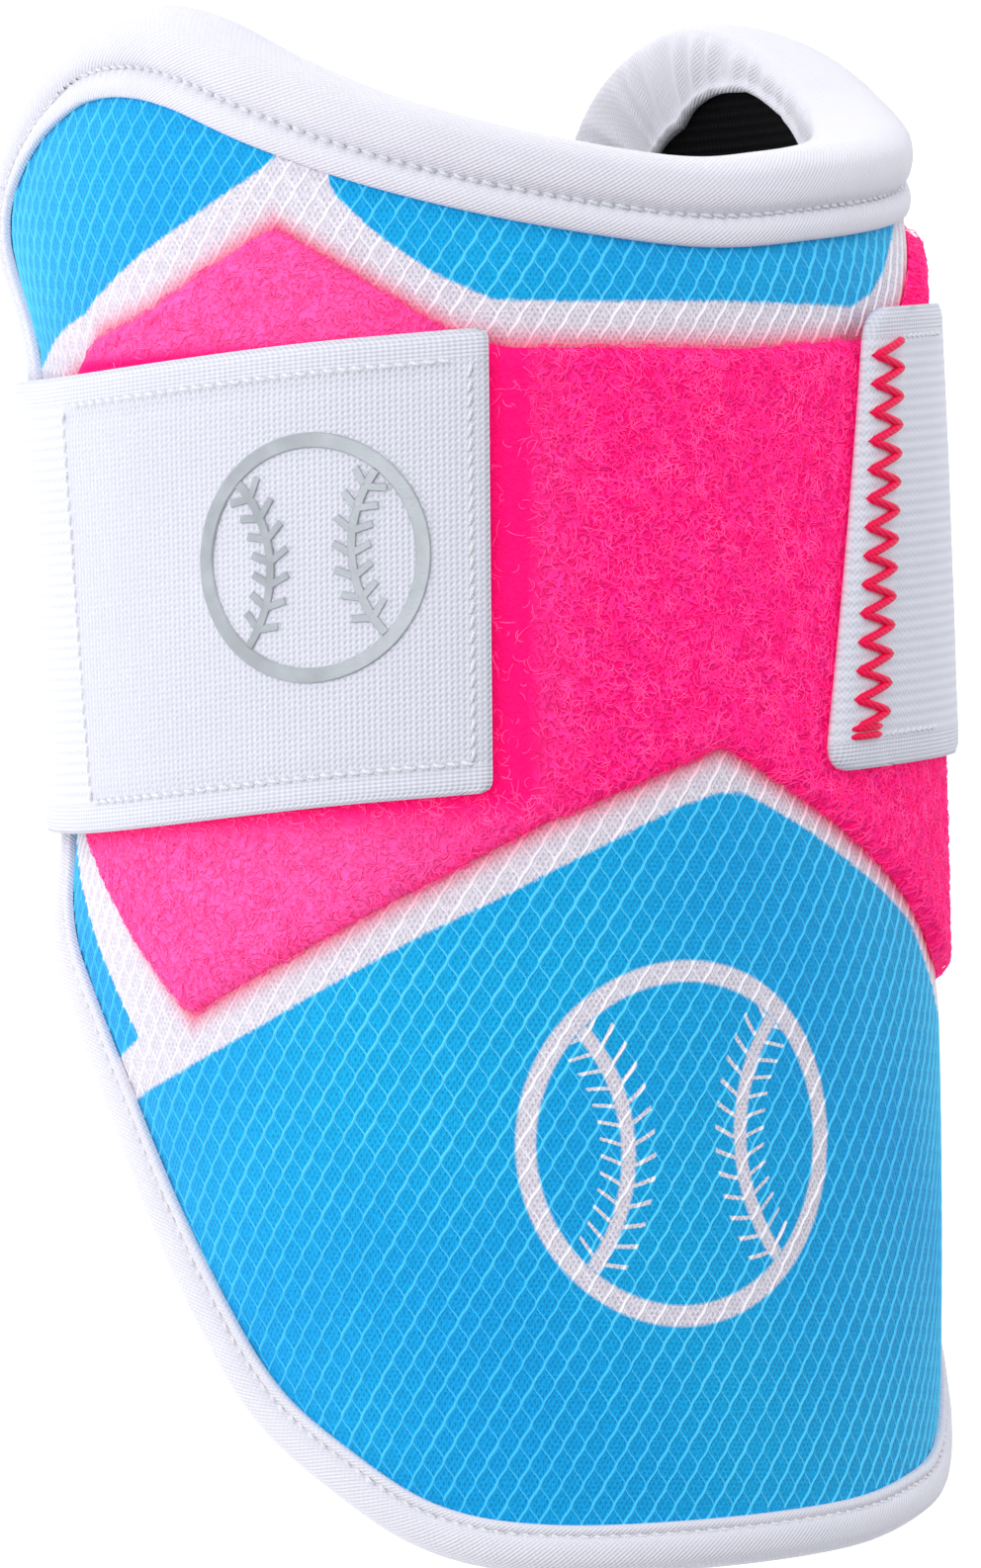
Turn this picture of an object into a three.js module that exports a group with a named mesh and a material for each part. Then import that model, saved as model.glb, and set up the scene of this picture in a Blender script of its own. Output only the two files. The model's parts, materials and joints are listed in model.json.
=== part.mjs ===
// A padded guard for a batter's elbow, fastened by its strap and lying on the strap's flat back.
// Lengths are millimetres and angles degrees. +Z is up, and +Y runs towards the upper arm.
//
// The pad, its lining and everything sewn to it are drawn flat and then rolled round the arm.
// A place on the flat pattern is a Vector2: x across from the middle of the front, y along the arm.

import {
  Box3, BufferAttribute, BufferGeometry, Group, MathUtils, Mesh, MeshStandardMaterial,
  ShapeUtils, SplineCurve, Vector2, Vector3,
} from 'three';

const { clamp, degToRad, lerp, radToDeg, smoothstep } = MathUtils;

// Driving sizes

const gap = 0.3;      // between pieces that lie on each other
const slotGap = 0.5; // between a trim's slot and the pad's faces

const shell = {
  length: 214,
  radius: 63.2,
  taper: 6.2,
  taperPower: 2.2,
  halfWrap: 127,
};

const foamThickness = 7;
const liningThickness = 1.3;

// The padded roll along the upper edge, and the narrow binding along the sides and the lower edge.
// Cover is how far it lies over the pad, reach how far it stands past the pad's edge,
// and flap how far it turns in over the lining.
const cuff = { cover: 10.4, bead: 4.2, beadHeight: 1.7, rollHeight: 3, reach: 2.4, flap: 7.5, flapThickness: 1.3 };
const binding = { cover: 5, bead: 1.5, beadHeight: 0.9, rollHeight: 1.7, reach: 2, flap: 5, flapThickness: 1.2 };

// Where the cuff's ends are, and over how much of the cuff it narrows to the binding there.
const cuffEnds = { right: { inset: 0.035, fade: 0.1 }, left: { inset: 0.07, fade: 0.16 } };

// The cuff draws the pad's upper edge in towards the arm, but not at the side edges.
const tuck = { depth: 2.2, fade: 20, full: 92, end: 120 };

const loopPanel = { thickness: 2.2, halfTurn: 105 };

// The strap is skewed a little, so its ends are slanted, and its pull pinches the pad's sides in.
// Its front end is fastened slightly higher than it comes round the side.

const strap = {
  width: 63,
  thickness: 1.6,
  middle: 0.64,
  skew: 0.036,
  frontEnd: { low: -36.5, high: -34 },
  sewnEnd: { low: 8, high: 19.5 },
  corner: 4,
  frontRise: { height: 1.9, from: -100, full: -48 },
};

const pinch = { depth: 3.8, from: 76, full: 122, fade: 22 };

// Height of the side bindings over the floor where nothing pinches them.
const floorClearance = 1.5;

const hookPatch = { thickness: 1.2, start: 38, end: 90, inset: 3.6 };

const steps = { outline: 42, pad: 14, panel: 42, panelRise: 4, strapArc: 22, strapCorner: 4, strapAcross: 3 };

// The pad's two edges, from the left side edge to the right one.
// Turn is a share of the half wrap, and rise a share of the length from the lowest point.

const lowerEdge = [
  { turn: -1, rise: 0.5 },
  { turn: -0.98, rise: 0.459 },
  { turn: -0.93, rise: 0.421 },
  { turn: -0.86, rise: 0.378 },
  { turn: -0.78, rise: 0.306 },
  { turn: -0.7, rise: 0.216 },
  { turn: -0.6, rise: 0.115 },
  { turn: -0.5, rise: 0.06 },
  { turn: -0.4, rise: 0.021 },
  { turn: -0.28, rise: 0.004 },
  { turn: -0.1, rise: 0 },
  { turn: 0.1, rise: 0.003 },
  { turn: 0.22, rise: 0.012 },
  { turn: 0.33, rise: 0.026 },
  { turn: 0.42, rise: 0.056 },
  { turn: 0.5, rise: 0.1 },
  { turn: 0.58, rise: 0.16 },
  { turn: 0.66, rise: 0.228 },
  { turn: 0.75, rise: 0.315 },
  { turn: 0.84, rise: 0.392 },
  { turn: 0.92, rise: 0.442 },
  { turn: 0.98, rise: 0.474 },
  { turn: 1, rise: 0.51 },
];

const upperEdge = [
  { turn: -1, rise: 0.824 },
  { turn: -0.98, rise: 0.868 },
  { turn: -0.93, rise: 0.906 },
  { turn: -0.87, rise: 0.937 },
  { turn: -0.8, rise: 0.968 },
  { turn: -0.72, rise: 0.993 },
  { turn: -0.64, rise: 1 },
  { turn: -0.56, rise: 0.988 },
  { turn: -0.46, rise: 0.958 },
  { turn: -0.34, rise: 0.927 },
  { turn: -0.2, rise: 0.901 },
  { turn: -0.04, rise: 0.883 },
  { turn: 0.1, rise: 0.885 },
  { turn: 0.28, rise: 0.895 },
  { turn: 0.42, rise: 0.91 },
  { turn: 0.52, rise: 0.928 },
  { turn: 0.6, rise: 0.949 },
  { turn: 0.68, rise: 0.969 },
  { turn: 0.76, rise: 0.983 },
  { turn: 0.83, rise: 0.984 },
  { turn: 0.9, rise: 0.967 },
  { turn: 0.95, rise: 0.936 },
  { turn: 0.985, rise: 0.885 },
  { turn: 1, rise: 0.824 },
];

// The loop panel's edges, from its left end to its right end, with the same shares,
// but turn is here a share of the panel's own half turn. Its corners are nearly sharp.

const panelUpperEdge = [
  { turn: -1, rise: 0.788 },
  { turn: -0.76, rise: 0.812 },
  { turn: -0.571, rise: 0.862 },
  { turn: -0.36, rise: 0.786 },
  { turn: -0.3, rise: 0.776 },
  { turn: 0, rise: 0.768 },
  { turn: 0.23, rise: 0.772 },
  { turn: 0.35, rise: 0.789 },
  { turn: 0.457, rise: 0.832 },
  { turn: 0.543, rise: 0.848 },
  { turn: 0.76, rise: 0.812 },
  { turn: 1, rise: 0.788 },
];

const panelLowerEdge = [
  { turn: -1, rise: 0.49 },
  { turn: -0.9, rise: 0.438 },
  { turn: -0.771, rise: 0.362 },
  { turn: -0.57, rise: 0.407 },
  { turn: -0.29, rise: 0.473 },
  { turn: -0.057, rise: 0.516 },
  { turn: 0.28, rise: 0.414 },
  { turn: 0.42, rise: 0.367 },
  { turn: 0.57, rise: 0.352 },
  { turn: 0.76, rise: 0.39 },
  { turn: 0.9, rise: 0.45 },
  { turn: 1, rise: 0.5 },
];

// Worked out from the sizes

const slotDepth = foamThickness + gap + liningThickness + slotGap;
const panelLift = gap;
const strapLift = panelLift + loopPanel.thickness + gap;
const hookLift = strapLift + hookPatch.thickness + gap;
const strapMiddle = strap.middle * shell.length;

// Flat pattern and rolling

function flatPoint(turn, rise) {
  return new Vector2(degToRad(turn) * shell.radius, rise * shell.length);
}

function pinchAt(turn, along) {
  const past = Math.abs(along - strapMiddle) - strap.width / 2;
  const inStrap = 1 - smoothstep(past, 0, pinch.fade);
  return pinch.depth * inStrap * smoothstep(Math.abs(turn), pinch.from, pinch.full);
}

function tuckAt(turn, along) {
  const edge = riseAt(upperEdge, turn / shell.halfWrap) * shell.length;
  const fromSides = 1 - smoothstep(Math.abs(turn), tuck.full, tuck.end);
  return tuck.depth * fromSides * (1 - smoothstep(edge - along, 0, tuck.fade));
}

// Radius of the pad's outer face. It is smaller towards the forearm, where the strap pinches it
// and under the cuff.
function shellRadius(turn, along) {
  const below = clamp(1 - along / shell.length, 0, 1);
  const tapered = shell.radius - shell.taper * below ** shell.taperPower;
  return tapered - pinchAt(turn, along) - tuckAt(turn, along);
}

// Lift is measured outwards from the pad's outer face.
function roll(flat, lift) {
  const turn = flat.x / shell.radius;
  const radius = shellRadius(radToDeg(turn), flat.y) + lift;
  return new Vector3(radius * Math.sin(turn), flat.y, axisHeight + radius * Math.cos(turn));
}

function padCurve(rows) {
  return new SplineCurve(rows.map((row) => flatPoint(row.turn * shell.halfWrap, row.rise)));
}

function riseAt(rows, turn) {
  const next = rows.findIndex((row) => row.turn >= turn);
  if (next <= 0) return rows[0].rise;
  const [from, to] = [rows[next - 1], rows[next]];
  return lerp(from.rise, to.rise, (turn - from.turn) / (to.turn - from.turn));
}

// Solids from grids of points

function solid(positions, faces) {
  const geometry = new BufferGeometry();
  geometry.setAttribute('position', new BufferAttribute(new Float32Array(positions), 3));
  geometry.setIndex(faces);
  geometry.computeVertexNormals();
  return geometry;
}

// A sheet with an outer and an inner face, each a function of the shares across and along it.
function thickSheet(columns, rows, outerAt, innerAt) {
  const positions = [];
  for (const faceAt of [outerAt, innerAt]) {
    for (let column = 0; column <= columns; column += 1) {
      for (let row = 0; row <= rows; row += 1) {
        positions.push(...faceAt(column / columns, row / rows).toArray());
      }
    }
  }
  const faces = [];
  const quad = (a, b, c, d) => faces.push(a, b, c, a, c, d);
  const outer = (column, row) => column * (rows + 1) + row;
  const inner = (column, row) => (columns + 1) * (rows + 1) + outer(column, row);
  for (let column = 0; column < columns; column += 1) {
    for (let row = 0; row < rows; row += 1) {
      quad(outer(column, row), outer(column + 1, row), outer(column + 1, row + 1), outer(column, row + 1));
      quad(inner(column, row), inner(column, row + 1), inner(column + 1, row + 1), inner(column + 1, row));
    }
    quad(outer(column, 0), inner(column, 0), inner(column + 1, 0), outer(column + 1, 0));
    quad(outer(column, rows), outer(column + 1, rows), inner(column + 1, rows), inner(column, rows));
  }
  for (let row = 0; row < rows; row += 1) {
    quad(outer(0, row), outer(0, row + 1), inner(0, row + 1), inner(0, row));
    quad(outer(columns, row + 1), outer(columns, row), inner(columns, row), inner(columns, row + 1));
  }
  return solid(positions, faces);
}

// A trim that follows the stations of the pad's edge. A section's points run clockwise,
// x away from the pad and y outwards from the arm.
function edgeTrim(stations, sectionAt) {
  const rings = stations.map((station, index) => {
    const section = sectionAt(index / (stations.length - 1)).reverse();
    return { station, section };
  });
  const positions = rings.flatMap(({ station, section }) => section.flatMap((point) => (
    roll(station.place.clone().addScaledVector(station.away, point.x), point.y).toArray()
  )));
  const count = rings[0].section.length;
  const faces = [];
  for (let ring = 0; ring < rings.length - 1; ring += 1) {
    for (let point = 0; point < count; point += 1) {
      const next = (point + 1) % count;
      const [a, b] = [ring * count + point, ring * count + next];
      faces.push(a, a + count, b + count, a, b + count, b);
    }
  }
  const last = (rings.length - 1) * count;
  for (const [a, b, c] of ShapeUtils.triangulateShape(rings[0].section, [])) {
    faces.push(a, b, c);
  }
  for (const [a, b, c] of ShapeUtils.triangulateShape(rings.at(-1).section, [])) {
    faces.push(last + a, last + c, last + b);
  }
  return solid(positions, faces);
}

// The trim's section: a bead, a stitched groove and a roll outside, a flap inside, and a slot for the pad.
function trimSection(trim) {
  const { cover, bead, beadHeight, rollHeight, reach, flap, flapThickness } = trim;
  const groove = bead - cover;
  const across = (share) => lerp(groove, reach, share);
  const inside = -slotDepth - flapThickness;
  return [
    [-cover, slotGap],
    [-cover, slotGap + 0.5 * beadHeight],
    [-cover + 0.5 * bead, slotGap + beadHeight],
    [groove, slotGap + 0.35 * beadHeight],
    [across(0.15), slotGap + 0.75 * rollHeight],
    [across(0.42), slotGap + rollHeight],
    [across(0.74), slotGap + 0.8 * rollHeight],
    [across(0.94), 0],
    [reach, -0.5 * slotDepth],
    [across(0.94), -slotDepth],
    [across(0.75), inside],
    [-0.5 * flap, inside],
    [-flap, -slotDepth - 0.8 * flapThickness],
    [-flap, -slotDepth],
    [gap, -slotDepth],
    [gap, slotGap],
    [-0.33 * cover, slotGap],
    [-0.67 * cover, slotGap],
  ].map(([x, y]) => new Vector2(x, y));
}

function blendTrims(from, to, share) {
  return Object.fromEntries(Object.keys(from).map((size) => [size, lerp(from[size], to[size], share)]));
}

// How far a side binding hangs below the arm's axis where the strap's pull moves it in by some depth.
function bindingDepth(pinched) {
  const depths = trimSection(binding).map((point) => {
    const turn = degToRad(shell.halfWrap) + point.x / shell.radius;
    return -(shell.radius - pinched + point.y) * Math.cos(turn);
  });
  return Math.max(...depths);
}

const axisHeight = Math.max(
  floorClearance + bindingDepth(0),
  strap.thickness + gap + bindingDepth(pinch.depth),
);

// Pad and lining

const lowerCurve = padCurve(lowerEdge);
const upperCurve = padCurve(upperEdge);

function padPoint(across, along) {
  return lowerCurve.getPointAt(across).lerp(upperCurve.getPointAt(across), along);
}

function padLayer(lift, thickness) {
  return thickSheet(
    steps.outline,
    steps.pad,
    (across, along) => roll(padPoint(across, along), lift),
    (across, along) => roll(padPoint(across, along), lift - thickness),
  );
}

// Stations round the pad's edge, anticlockwise from the upper left corner: left side, lower edge,
// right side, then the upper edge from right to left. Each has its place and the direction away from the pad.
function edgeStations() {
  const places = [];
  const sides = (from, to, count, pointAt) => {
    for (let step = 0; step < count; step += 1) {
      places.push(pointAt(lerp(from, to, step / count)));
    }
  };
  sides(1, 0, steps.pad, (along) => padPoint(0, along));
  sides(0, 1, steps.outline, (across) => padPoint(across, 0));
  sides(0, 1, steps.pad, (along) => padPoint(1, along));
  sides(1, 0, steps.outline, (across) => padPoint(across, 1));
  return places.map((place, index) => {
    const before = places.at(index - 1);
    const after = places[(index + 1) % places.length];
    const forward = after.clone().sub(before).normalize();
    return { place, away: new Vector2(forward.y, -forward.x) };
  });
}

const edge = edgeStations();
const cuffStart = 2 * steps.pad + steps.outline + Math.round(cuffEnds.right.inset * steps.outline);
const cuffEnd = edge.length - Math.round(cuffEnds.left.inset * steps.outline);
const cuffStations = edge.slice(cuffStart, cuffEnd + 1);
const bindingStations = [...edge.slice(cuffEnd), ...edge.slice(0, cuffStart + 1)];

function cuffSection(share) {
  const fromEnd = Math.min(share / cuffEnds.right.fade, (1 - share) / cuffEnds.left.fade);
  return trimSection(blendTrims(binding, cuff, smoothstep(fromEnd, 0, 1)));
}

// The cuff and the binding meet end to end with the small gap between them.
function pullBack(stations) {
  const trimmed = stations.map((station) => ({ ...station, place: station.place.clone() }));
  const ends = [[trimmed[0], trimmed[1]], [trimmed.at(-1), trimmed.at(-2)]];
  for (const [end, neighbour] of ends) {
    const inward = neighbour.place.clone().sub(end.place).normalize();
    end.place.addScaledVector(inward, gap / 2);
  }
  return trimmed;
}

// Loop panel and hook patch. Each edge gives its rise at a share of the way across.

function bandedSheet(columns, rows, ends, edges, lift, thickness) {
  const flatAt = (across, along) => {
    const turn = lerp(ends[0], ends[1], across);
    return flatPoint(turn, lerp(edges[0](turn), edges[1](turn), along));
  };
  return thickSheet(
    columns,
    rows,
    (across, along) => roll(flatAt(across, along), lift + thickness),
    (across, along) => roll(flatAt(across, along), lift),
  );
}

function loopPanelSolid() {
  const edgeRise = (rows) => (turn) => riseAt(rows, turn / loopPanel.halfTurn);
  return bandedSheet(
    steps.panel,
    steps.panelRise,
    [-loopPanel.halfTurn, loopPanel.halfTurn],
    [edgeRise(panelLowerEdge), edgeRise(panelUpperEdge)],
    panelLift,
    loopPanel.thickness,
  );
}

// The strap's skew moves it along the arm in step with its place across the guard,
// and its left stretch climbs to the front end.
function skewAt(turn, radius) {
  return strap.skew * radius * Math.sin(degToRad(turn));
}

function climbAt(turn) {
  const { height, from, full } = strap.frontRise;
  return turn < 0 ? height * smoothstep(turn, from, full) : 0;
}

function hookPatchSolid() {
  const halfWidth = strap.width / 2 - hookPatch.inset;
  const edgeRise = (side) => (turn) => (
    (strapMiddle + skewAt(turn, shell.radius) + climbAt(turn) + side * halfWidth) / shell.length
  );
  return bandedSheet(
    steps.strapArc,
    steps.strapAcross,
    [-hookPatch.end, -hookPatch.start],
    [edgeRise(-1), edgeRise(1)],
    strapLift,
    hookPatch.thickness,
  );
}

// Strap. It runs over the front left, round the left side, flat across the back on the floor,
// round the right side and up to its sewn end. Each station is a turn about a centre.

function strapLiftAt(turn) {
  return lerp(hookLift, strapLift, smoothstep(turn, hookPatch.end, shell.halfWrap));
}

function strapPath(along, frontEnd, sewnEnd) {
  const inner = shellRadius(shell.halfWrap, along) + strapLift;
  const cornerHeight = strap.thickness + strap.corner;
  const cornerOut = Math.sqrt((inner - strap.corner) ** 2 - (axisHeight - cornerHeight) ** 2);
  const leave = radToDeg(Math.atan2(cornerOut, cornerHeight - axisHeight));
  const path = [];
  const arc = (count, from, to, stationAt) => {
    for (let step = 0; step < count; step += 1) {
      path.push(stationAt(lerp(from, to, step / count)));
    }
  };
  const shellStation = (liftAt) => (turn) => (
    { x: 0, z: axisHeight, radius: shellRadius(turn, along) + liftAt(Math.abs(turn)), turn }
  );
  const cornerStation = (side) => (turn) => (
    { x: side * cornerOut, z: cornerHeight, radius: strap.corner, turn: side * turn }
  );
  arc(steps.strapArc, frontEnd, -leave, shellStation(strapLiftAt));
  arc(steps.strapCorner, leave, 180, cornerStation(-1));
  arc(1, 180, 180, cornerStation(-1));
  arc(steps.strapCorner, 180, leave, cornerStation(1));
  arc(steps.strapArc, leave, sewnEnd, shellStation(() => strapLift));
  arc(1, sewnEnd, sewnEnd, shellStation(() => strapLift));
  return path;
}

function strapSolid() {
  const rows = [];
  for (let row = 0; row <= steps.strapAcross; row += 1) {
    const share = row / steps.strapAcross;
    const along = strapMiddle + (share - 0.5) * strap.width;
    const { frontEnd, sewnEnd } = strap;
    const path = strapPath(along, lerp(frontEnd.low, frontEnd.high, share), lerp(sewnEnd.low, sewnEnd.high, share));
    rows.push({ along, path });
  }
  const last = rows[0].path.length - 1;
  const pointAt = (depth) => (across, share) => {
    const { along, path } = rows[Math.round(share * steps.strapAcross)];
    const station = path[Math.round(across * last)];
    const turn = degToRad(station.turn);
    const radius = station.radius + depth;
    const x = station.x + radius * Math.sin(turn);
    const y = along + strap.skew * x + climbAt(station.turn);
    return new Vector3(x, y, station.z + radius * Math.cos(turn));
  };
  return thickSheet(last, steps.strapAcross, pointAt(0), pointAt(strap.thickness));
}

// Assembly, standing with the middle of its box over the origin

const cloth = (color, roughness) => new MeshStandardMaterial({ color, roughness, metalness: 0 });

const pieces = [
  { name: 'pad', geometry: padLayer(0, foamThickness), material: cloth(0x2fa6e6, 0.85) },
  { name: 'lining', geometry: padLayer(-foamThickness - gap, liningThickness), material: cloth(0x16161a, 0.95) },
  { name: 'top_cuff', geometry: edgeTrim(pullBack(cuffStations), cuffSection), material: cloth(0xf2f2f2, 0.9) },
  {
    name: 'edge_binding',
    geometry: edgeTrim(pullBack(bindingStations), () => trimSection(binding)),
    material: cloth(0xeeeeee, 0.9),
  },
  { name: 'loop_panel', geometry: loopPanelSolid(), material: cloth(0xf0287e, 0.95) },
  { name: 'hook_patch', geometry: hookPatchSolid(), material: cloth(0xd8d8da, 0.8) },
  { name: 'strap', geometry: strapSolid(), material: cloth(0xf6f6f6, 0.85) },
];

const guard = new Group();
for (const { name, geometry, material } of pieces) {
  const mesh = new Mesh(geometry, material);
  mesh.name = name;
  guard.add(mesh);
}
const box = new Box3().setFromObject(guard);
const middle = box.getCenter(new Vector3());
guard.position.set(-middle.x, -middle.y, -box.min.z);

export default guard;
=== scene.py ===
import json
import math
import random

import bpy
from mathutils import Matrix, Vector, kdtree, noise

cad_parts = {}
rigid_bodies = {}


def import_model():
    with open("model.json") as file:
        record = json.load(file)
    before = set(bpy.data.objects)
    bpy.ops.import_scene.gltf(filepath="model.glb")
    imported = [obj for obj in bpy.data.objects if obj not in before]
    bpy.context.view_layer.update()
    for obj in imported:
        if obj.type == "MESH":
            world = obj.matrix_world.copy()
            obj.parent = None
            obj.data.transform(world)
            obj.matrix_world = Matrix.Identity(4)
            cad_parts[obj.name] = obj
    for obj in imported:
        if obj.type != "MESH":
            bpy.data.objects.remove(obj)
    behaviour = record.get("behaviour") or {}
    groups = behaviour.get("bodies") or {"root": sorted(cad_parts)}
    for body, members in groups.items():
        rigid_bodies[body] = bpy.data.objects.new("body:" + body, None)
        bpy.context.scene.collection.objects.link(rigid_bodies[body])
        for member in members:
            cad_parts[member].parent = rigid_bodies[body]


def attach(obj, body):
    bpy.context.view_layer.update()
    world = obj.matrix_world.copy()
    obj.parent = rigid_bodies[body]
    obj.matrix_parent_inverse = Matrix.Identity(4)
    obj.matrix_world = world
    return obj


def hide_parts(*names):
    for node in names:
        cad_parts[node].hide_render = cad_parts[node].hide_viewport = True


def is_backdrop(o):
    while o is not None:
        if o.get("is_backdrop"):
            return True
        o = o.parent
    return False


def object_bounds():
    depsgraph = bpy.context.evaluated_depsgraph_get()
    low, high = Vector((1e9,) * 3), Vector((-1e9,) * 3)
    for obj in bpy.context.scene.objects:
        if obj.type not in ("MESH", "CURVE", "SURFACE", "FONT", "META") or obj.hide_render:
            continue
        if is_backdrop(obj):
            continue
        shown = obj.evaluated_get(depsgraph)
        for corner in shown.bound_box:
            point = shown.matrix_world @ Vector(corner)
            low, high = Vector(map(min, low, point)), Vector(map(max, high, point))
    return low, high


bl_info = {
    "name": "Batter's elbow guard",
    "version": (1, 0, 0),
    "blender": (4, 5, 0),
    "location": "3D View > Sidebar > Elbow guard",
    "description": "Dresses the guard's solids with knit, pile, twill, webbing, stitches and prints",
    "category": "Object",
}

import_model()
CAD_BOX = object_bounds()

# Lengths below are in millimetres and angles in degrees, unless a name says otherwise.
MM = 0.001

# The guard is a cover rolled round the arm's axis. A place on it is its turn round the axis from the
# top, its distance along the arm from the lower edge, and its lift outwards from the cover. On the
# cover laid flat, x is the turn's arc and y the distance along the arm.
AXIS = Vector((0.783, -107.089, 41.121))

# Shares of the half wrap and of the length, from left to right
LOWER_EDGE = (
    (-1, 0.5), (-0.98, 0.459), (-0.93, 0.421), (-0.86, 0.378), (-0.78, 0.306), (-0.7, 0.216),
    (-0.6, 0.115), (-0.5, 0.06), (-0.4, 0.021), (-0.28, 0.004), (-0.1, 0), (0.1, 0.003),
    (0.22, 0.012), (0.33, 0.026), (0.42, 0.056), (0.5, 0.1), (0.58, 0.16), (0.66, 0.228),
    (0.75, 0.315), (0.84, 0.392), (0.92, 0.442), (0.98, 0.474), (1, 0.51),
)
UPPER_EDGE = (
    (-1, 0.824), (-0.98, 0.868), (-0.93, 0.906), (-0.87, 0.937), (-0.8, 0.968), (-0.72, 0.993),
    (-0.64, 1), (-0.56, 0.988), (-0.46, 0.958), (-0.34, 0.927), (-0.2, 0.901), (-0.04, 0.883),
    (0.1, 0.885), (0.28, 0.895), (0.42, 0.91), (0.52, 0.928), (0.6, 0.949), (0.68, 0.969),
    (0.76, 0.983), (0.83, 0.984), (0.9, 0.967), (0.95, 0.936), (0.985, 0.885), (1, 0.824),
)
# Turn as a share of the panel's half turn, and rise as a share of the length
PANEL_UPPER_EDGE = (
    (-1, 0.764), (-0.9, 0.778), (-0.86, 0.799), (-0.76, 0.812), (-0.571, 0.862), (-0.36, 0.786),
    (-0.3, 0.776), (0, 0.768), (0.23, 0.772), (0.35, 0.789), (0.457, 0.832), (0.543, 0.848),
    (0.76, 0.812), (1, 0.788),
)
PANEL_LOWER_EDGE = (
    (-1, 0.49), (-0.9, 0.438), (-0.771, 0.362), (-0.57, 0.407), (-0.29, 0.473), (-0.057, 0.516),
    (0.28, 0.414), (0.42, 0.367), (0.57, 0.352), (0.76, 0.39), (0.9, 0.45), (1, 0.5),
)
# Printed edges on the cover: turn, and distance along the arm
BAND_TOP = (
    (-127, 167.5), (-116, 169), (-93, 174.6), (-81, 181.6), (-71, 186.8), (-62, 192), (-59.5, 194),
    (-58.5, 203), (-54, 203), (-52.5, 188.8), (-47, 182.6), (-40, 176.7), (-33, 172.7), (-25, 172),
    (-1, 170.9), (9, 170.3), (21, 169.7), (27, 171.7), (32, 175.1), (37, 179.3), (43, 182.9),
    (51, 187), (57, 189), (68, 184), (82, 177.5), (100, 171.5), (127, 167.5),
)
BAND_FOOT = (
    (-127, 57), (-103, 63.7), (-94, 66.1), (-83, 70), (-70, 75.5), (-61, 79.9), (-53, 83.8),
    (-45, 87.7), (-37, 91.2), (-29, 95), (-21, 98.7), (-13, 102.3), (-7, 104), (-3, 103.8),
    (5, 99.5), (16, 93.1), (32, 84.3), (45, 73), (57, 67.5), (70, 66), (94, 62), (127, 56),
)
SIDE_TOP = (
    (-127, 108), (-114, 99.6), (-107, 93.8), (-102, 88.2), (-98, 83.4), (-95, 79.3), (-91.5, 74.6),
    (-60, 30), (40, 30), (69, 71.5), (75, 78), (82, 85), (90, 92), (100, 98), (114, 104), (127, 108),
)
SIDE_FOOT = (
    (-127, 63), (-101, 70.5), (-98, 71.6), (-91.5, 74.6), (-60, 90), (40, 90), (69, 71.5),
    (80, 70.5), (100, 67), (127, 62),
)


def colour(red, green, blue):
    """A colour on a scale of 0 to 255 as the linear one that a shader takes."""
    return tuple(((value / 255 + 0.055) / 1.055) ** 2.4 for value in (red, green, blue))


def clamp(value, low=0, high=1):
    return min(high, max(low, value))


def smoothstep(value, low, high):
    share = clamp((value - low) / (high - low))
    return share * share * (3 - 2 * share)


def lerp(low, high, share):
    return low + (high - low) * share


def rise_at(rows, where):
    """Height of a line of (place, height) points over a place."""
    if where <= rows[0][0]:
        return rows[0][1]
    for (left, low), (right, high) in zip(rows, rows[1:]):
        if where <= right:
            return lerp(low, high, (where - left) / (right - left))
    return rows[-1][1]


def size(name, default, description):
    return bpy.props.FloatProperty(name=name, description=description, default=default, min=0)


def paint(name, default, description):
    return bpy.props.FloatVectorProperty(
        name=name, description=description, default=default, subtype="COLOR", size=3, min=0, max=1,
    )


class GuardSizes(bpy.types.PropertyGroup):
    """Sizes of the guard, in millimetres unless the description says otherwise."""

    length: size("Length", 214, "Length of the pad along the arm, mm")
    radius: size("Radius", 63.2, "Radius of the cover at the upper arm, mm")
    taper: size("Taper", 6.2, "How much smaller the radius is at the wrist end, mm")
    taper_power: size("Taper power", 2.2, "How suddenly the taper starts")
    half_wrap: size("Half wrap", 127, "How far the pad goes round each side, degrees")
    foam: size("Foam", 7, "Thickness of the foam pad, mm")
    lining: size("Lining", 1.3, "Thickness of the lining, mm")
    fullness: size("Fullness", 0.5, "How far the cover swells between its seams, mm")
    slot_gap: size("Slot gap", 0.5, "Room between the pad and its trims, mm")
    gap: size("Gap", 0.3, "Room between neighbouring pieces, mm")
    pile: size("Pile panel", 2.2, "Thickness of the loop panel, mm")
    panel_turn: size("Panel turn", 105, "How far the loop panel goes round each side, degrees")
    fibre: size("Fibre", 0.17, "Diameter of a pile fibre, mm")
    rib: size("Rib", 0.46, "Width of the cover's strong ribs, mm")
    strap_width: size("Strap width", 63, "Width of the elastic strap, mm")
    strap_thickness: size("Strap thickness", 1.6, "Thickness of the elastic strap, mm")
    strap_lift: size("Strap lift", 2.8, "Lift of the strap over the cover, mm")
    strap_end_lift: size("Strap end lift", 4.3, "Lift of the strap over its hook patch, mm")
    stitch: size("Stitch", 1.6, "Length of a stitch, mm")
    thread: size("Thread", 0.56, "Diameter of the sewing thread, mm")
    icon: size("Icon", 50, "Diameter of the ball printed on the lower panel, mm")
    emblem: size("Emblem", 34, "Diameter of the raised ball on the strap, mm")


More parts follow.
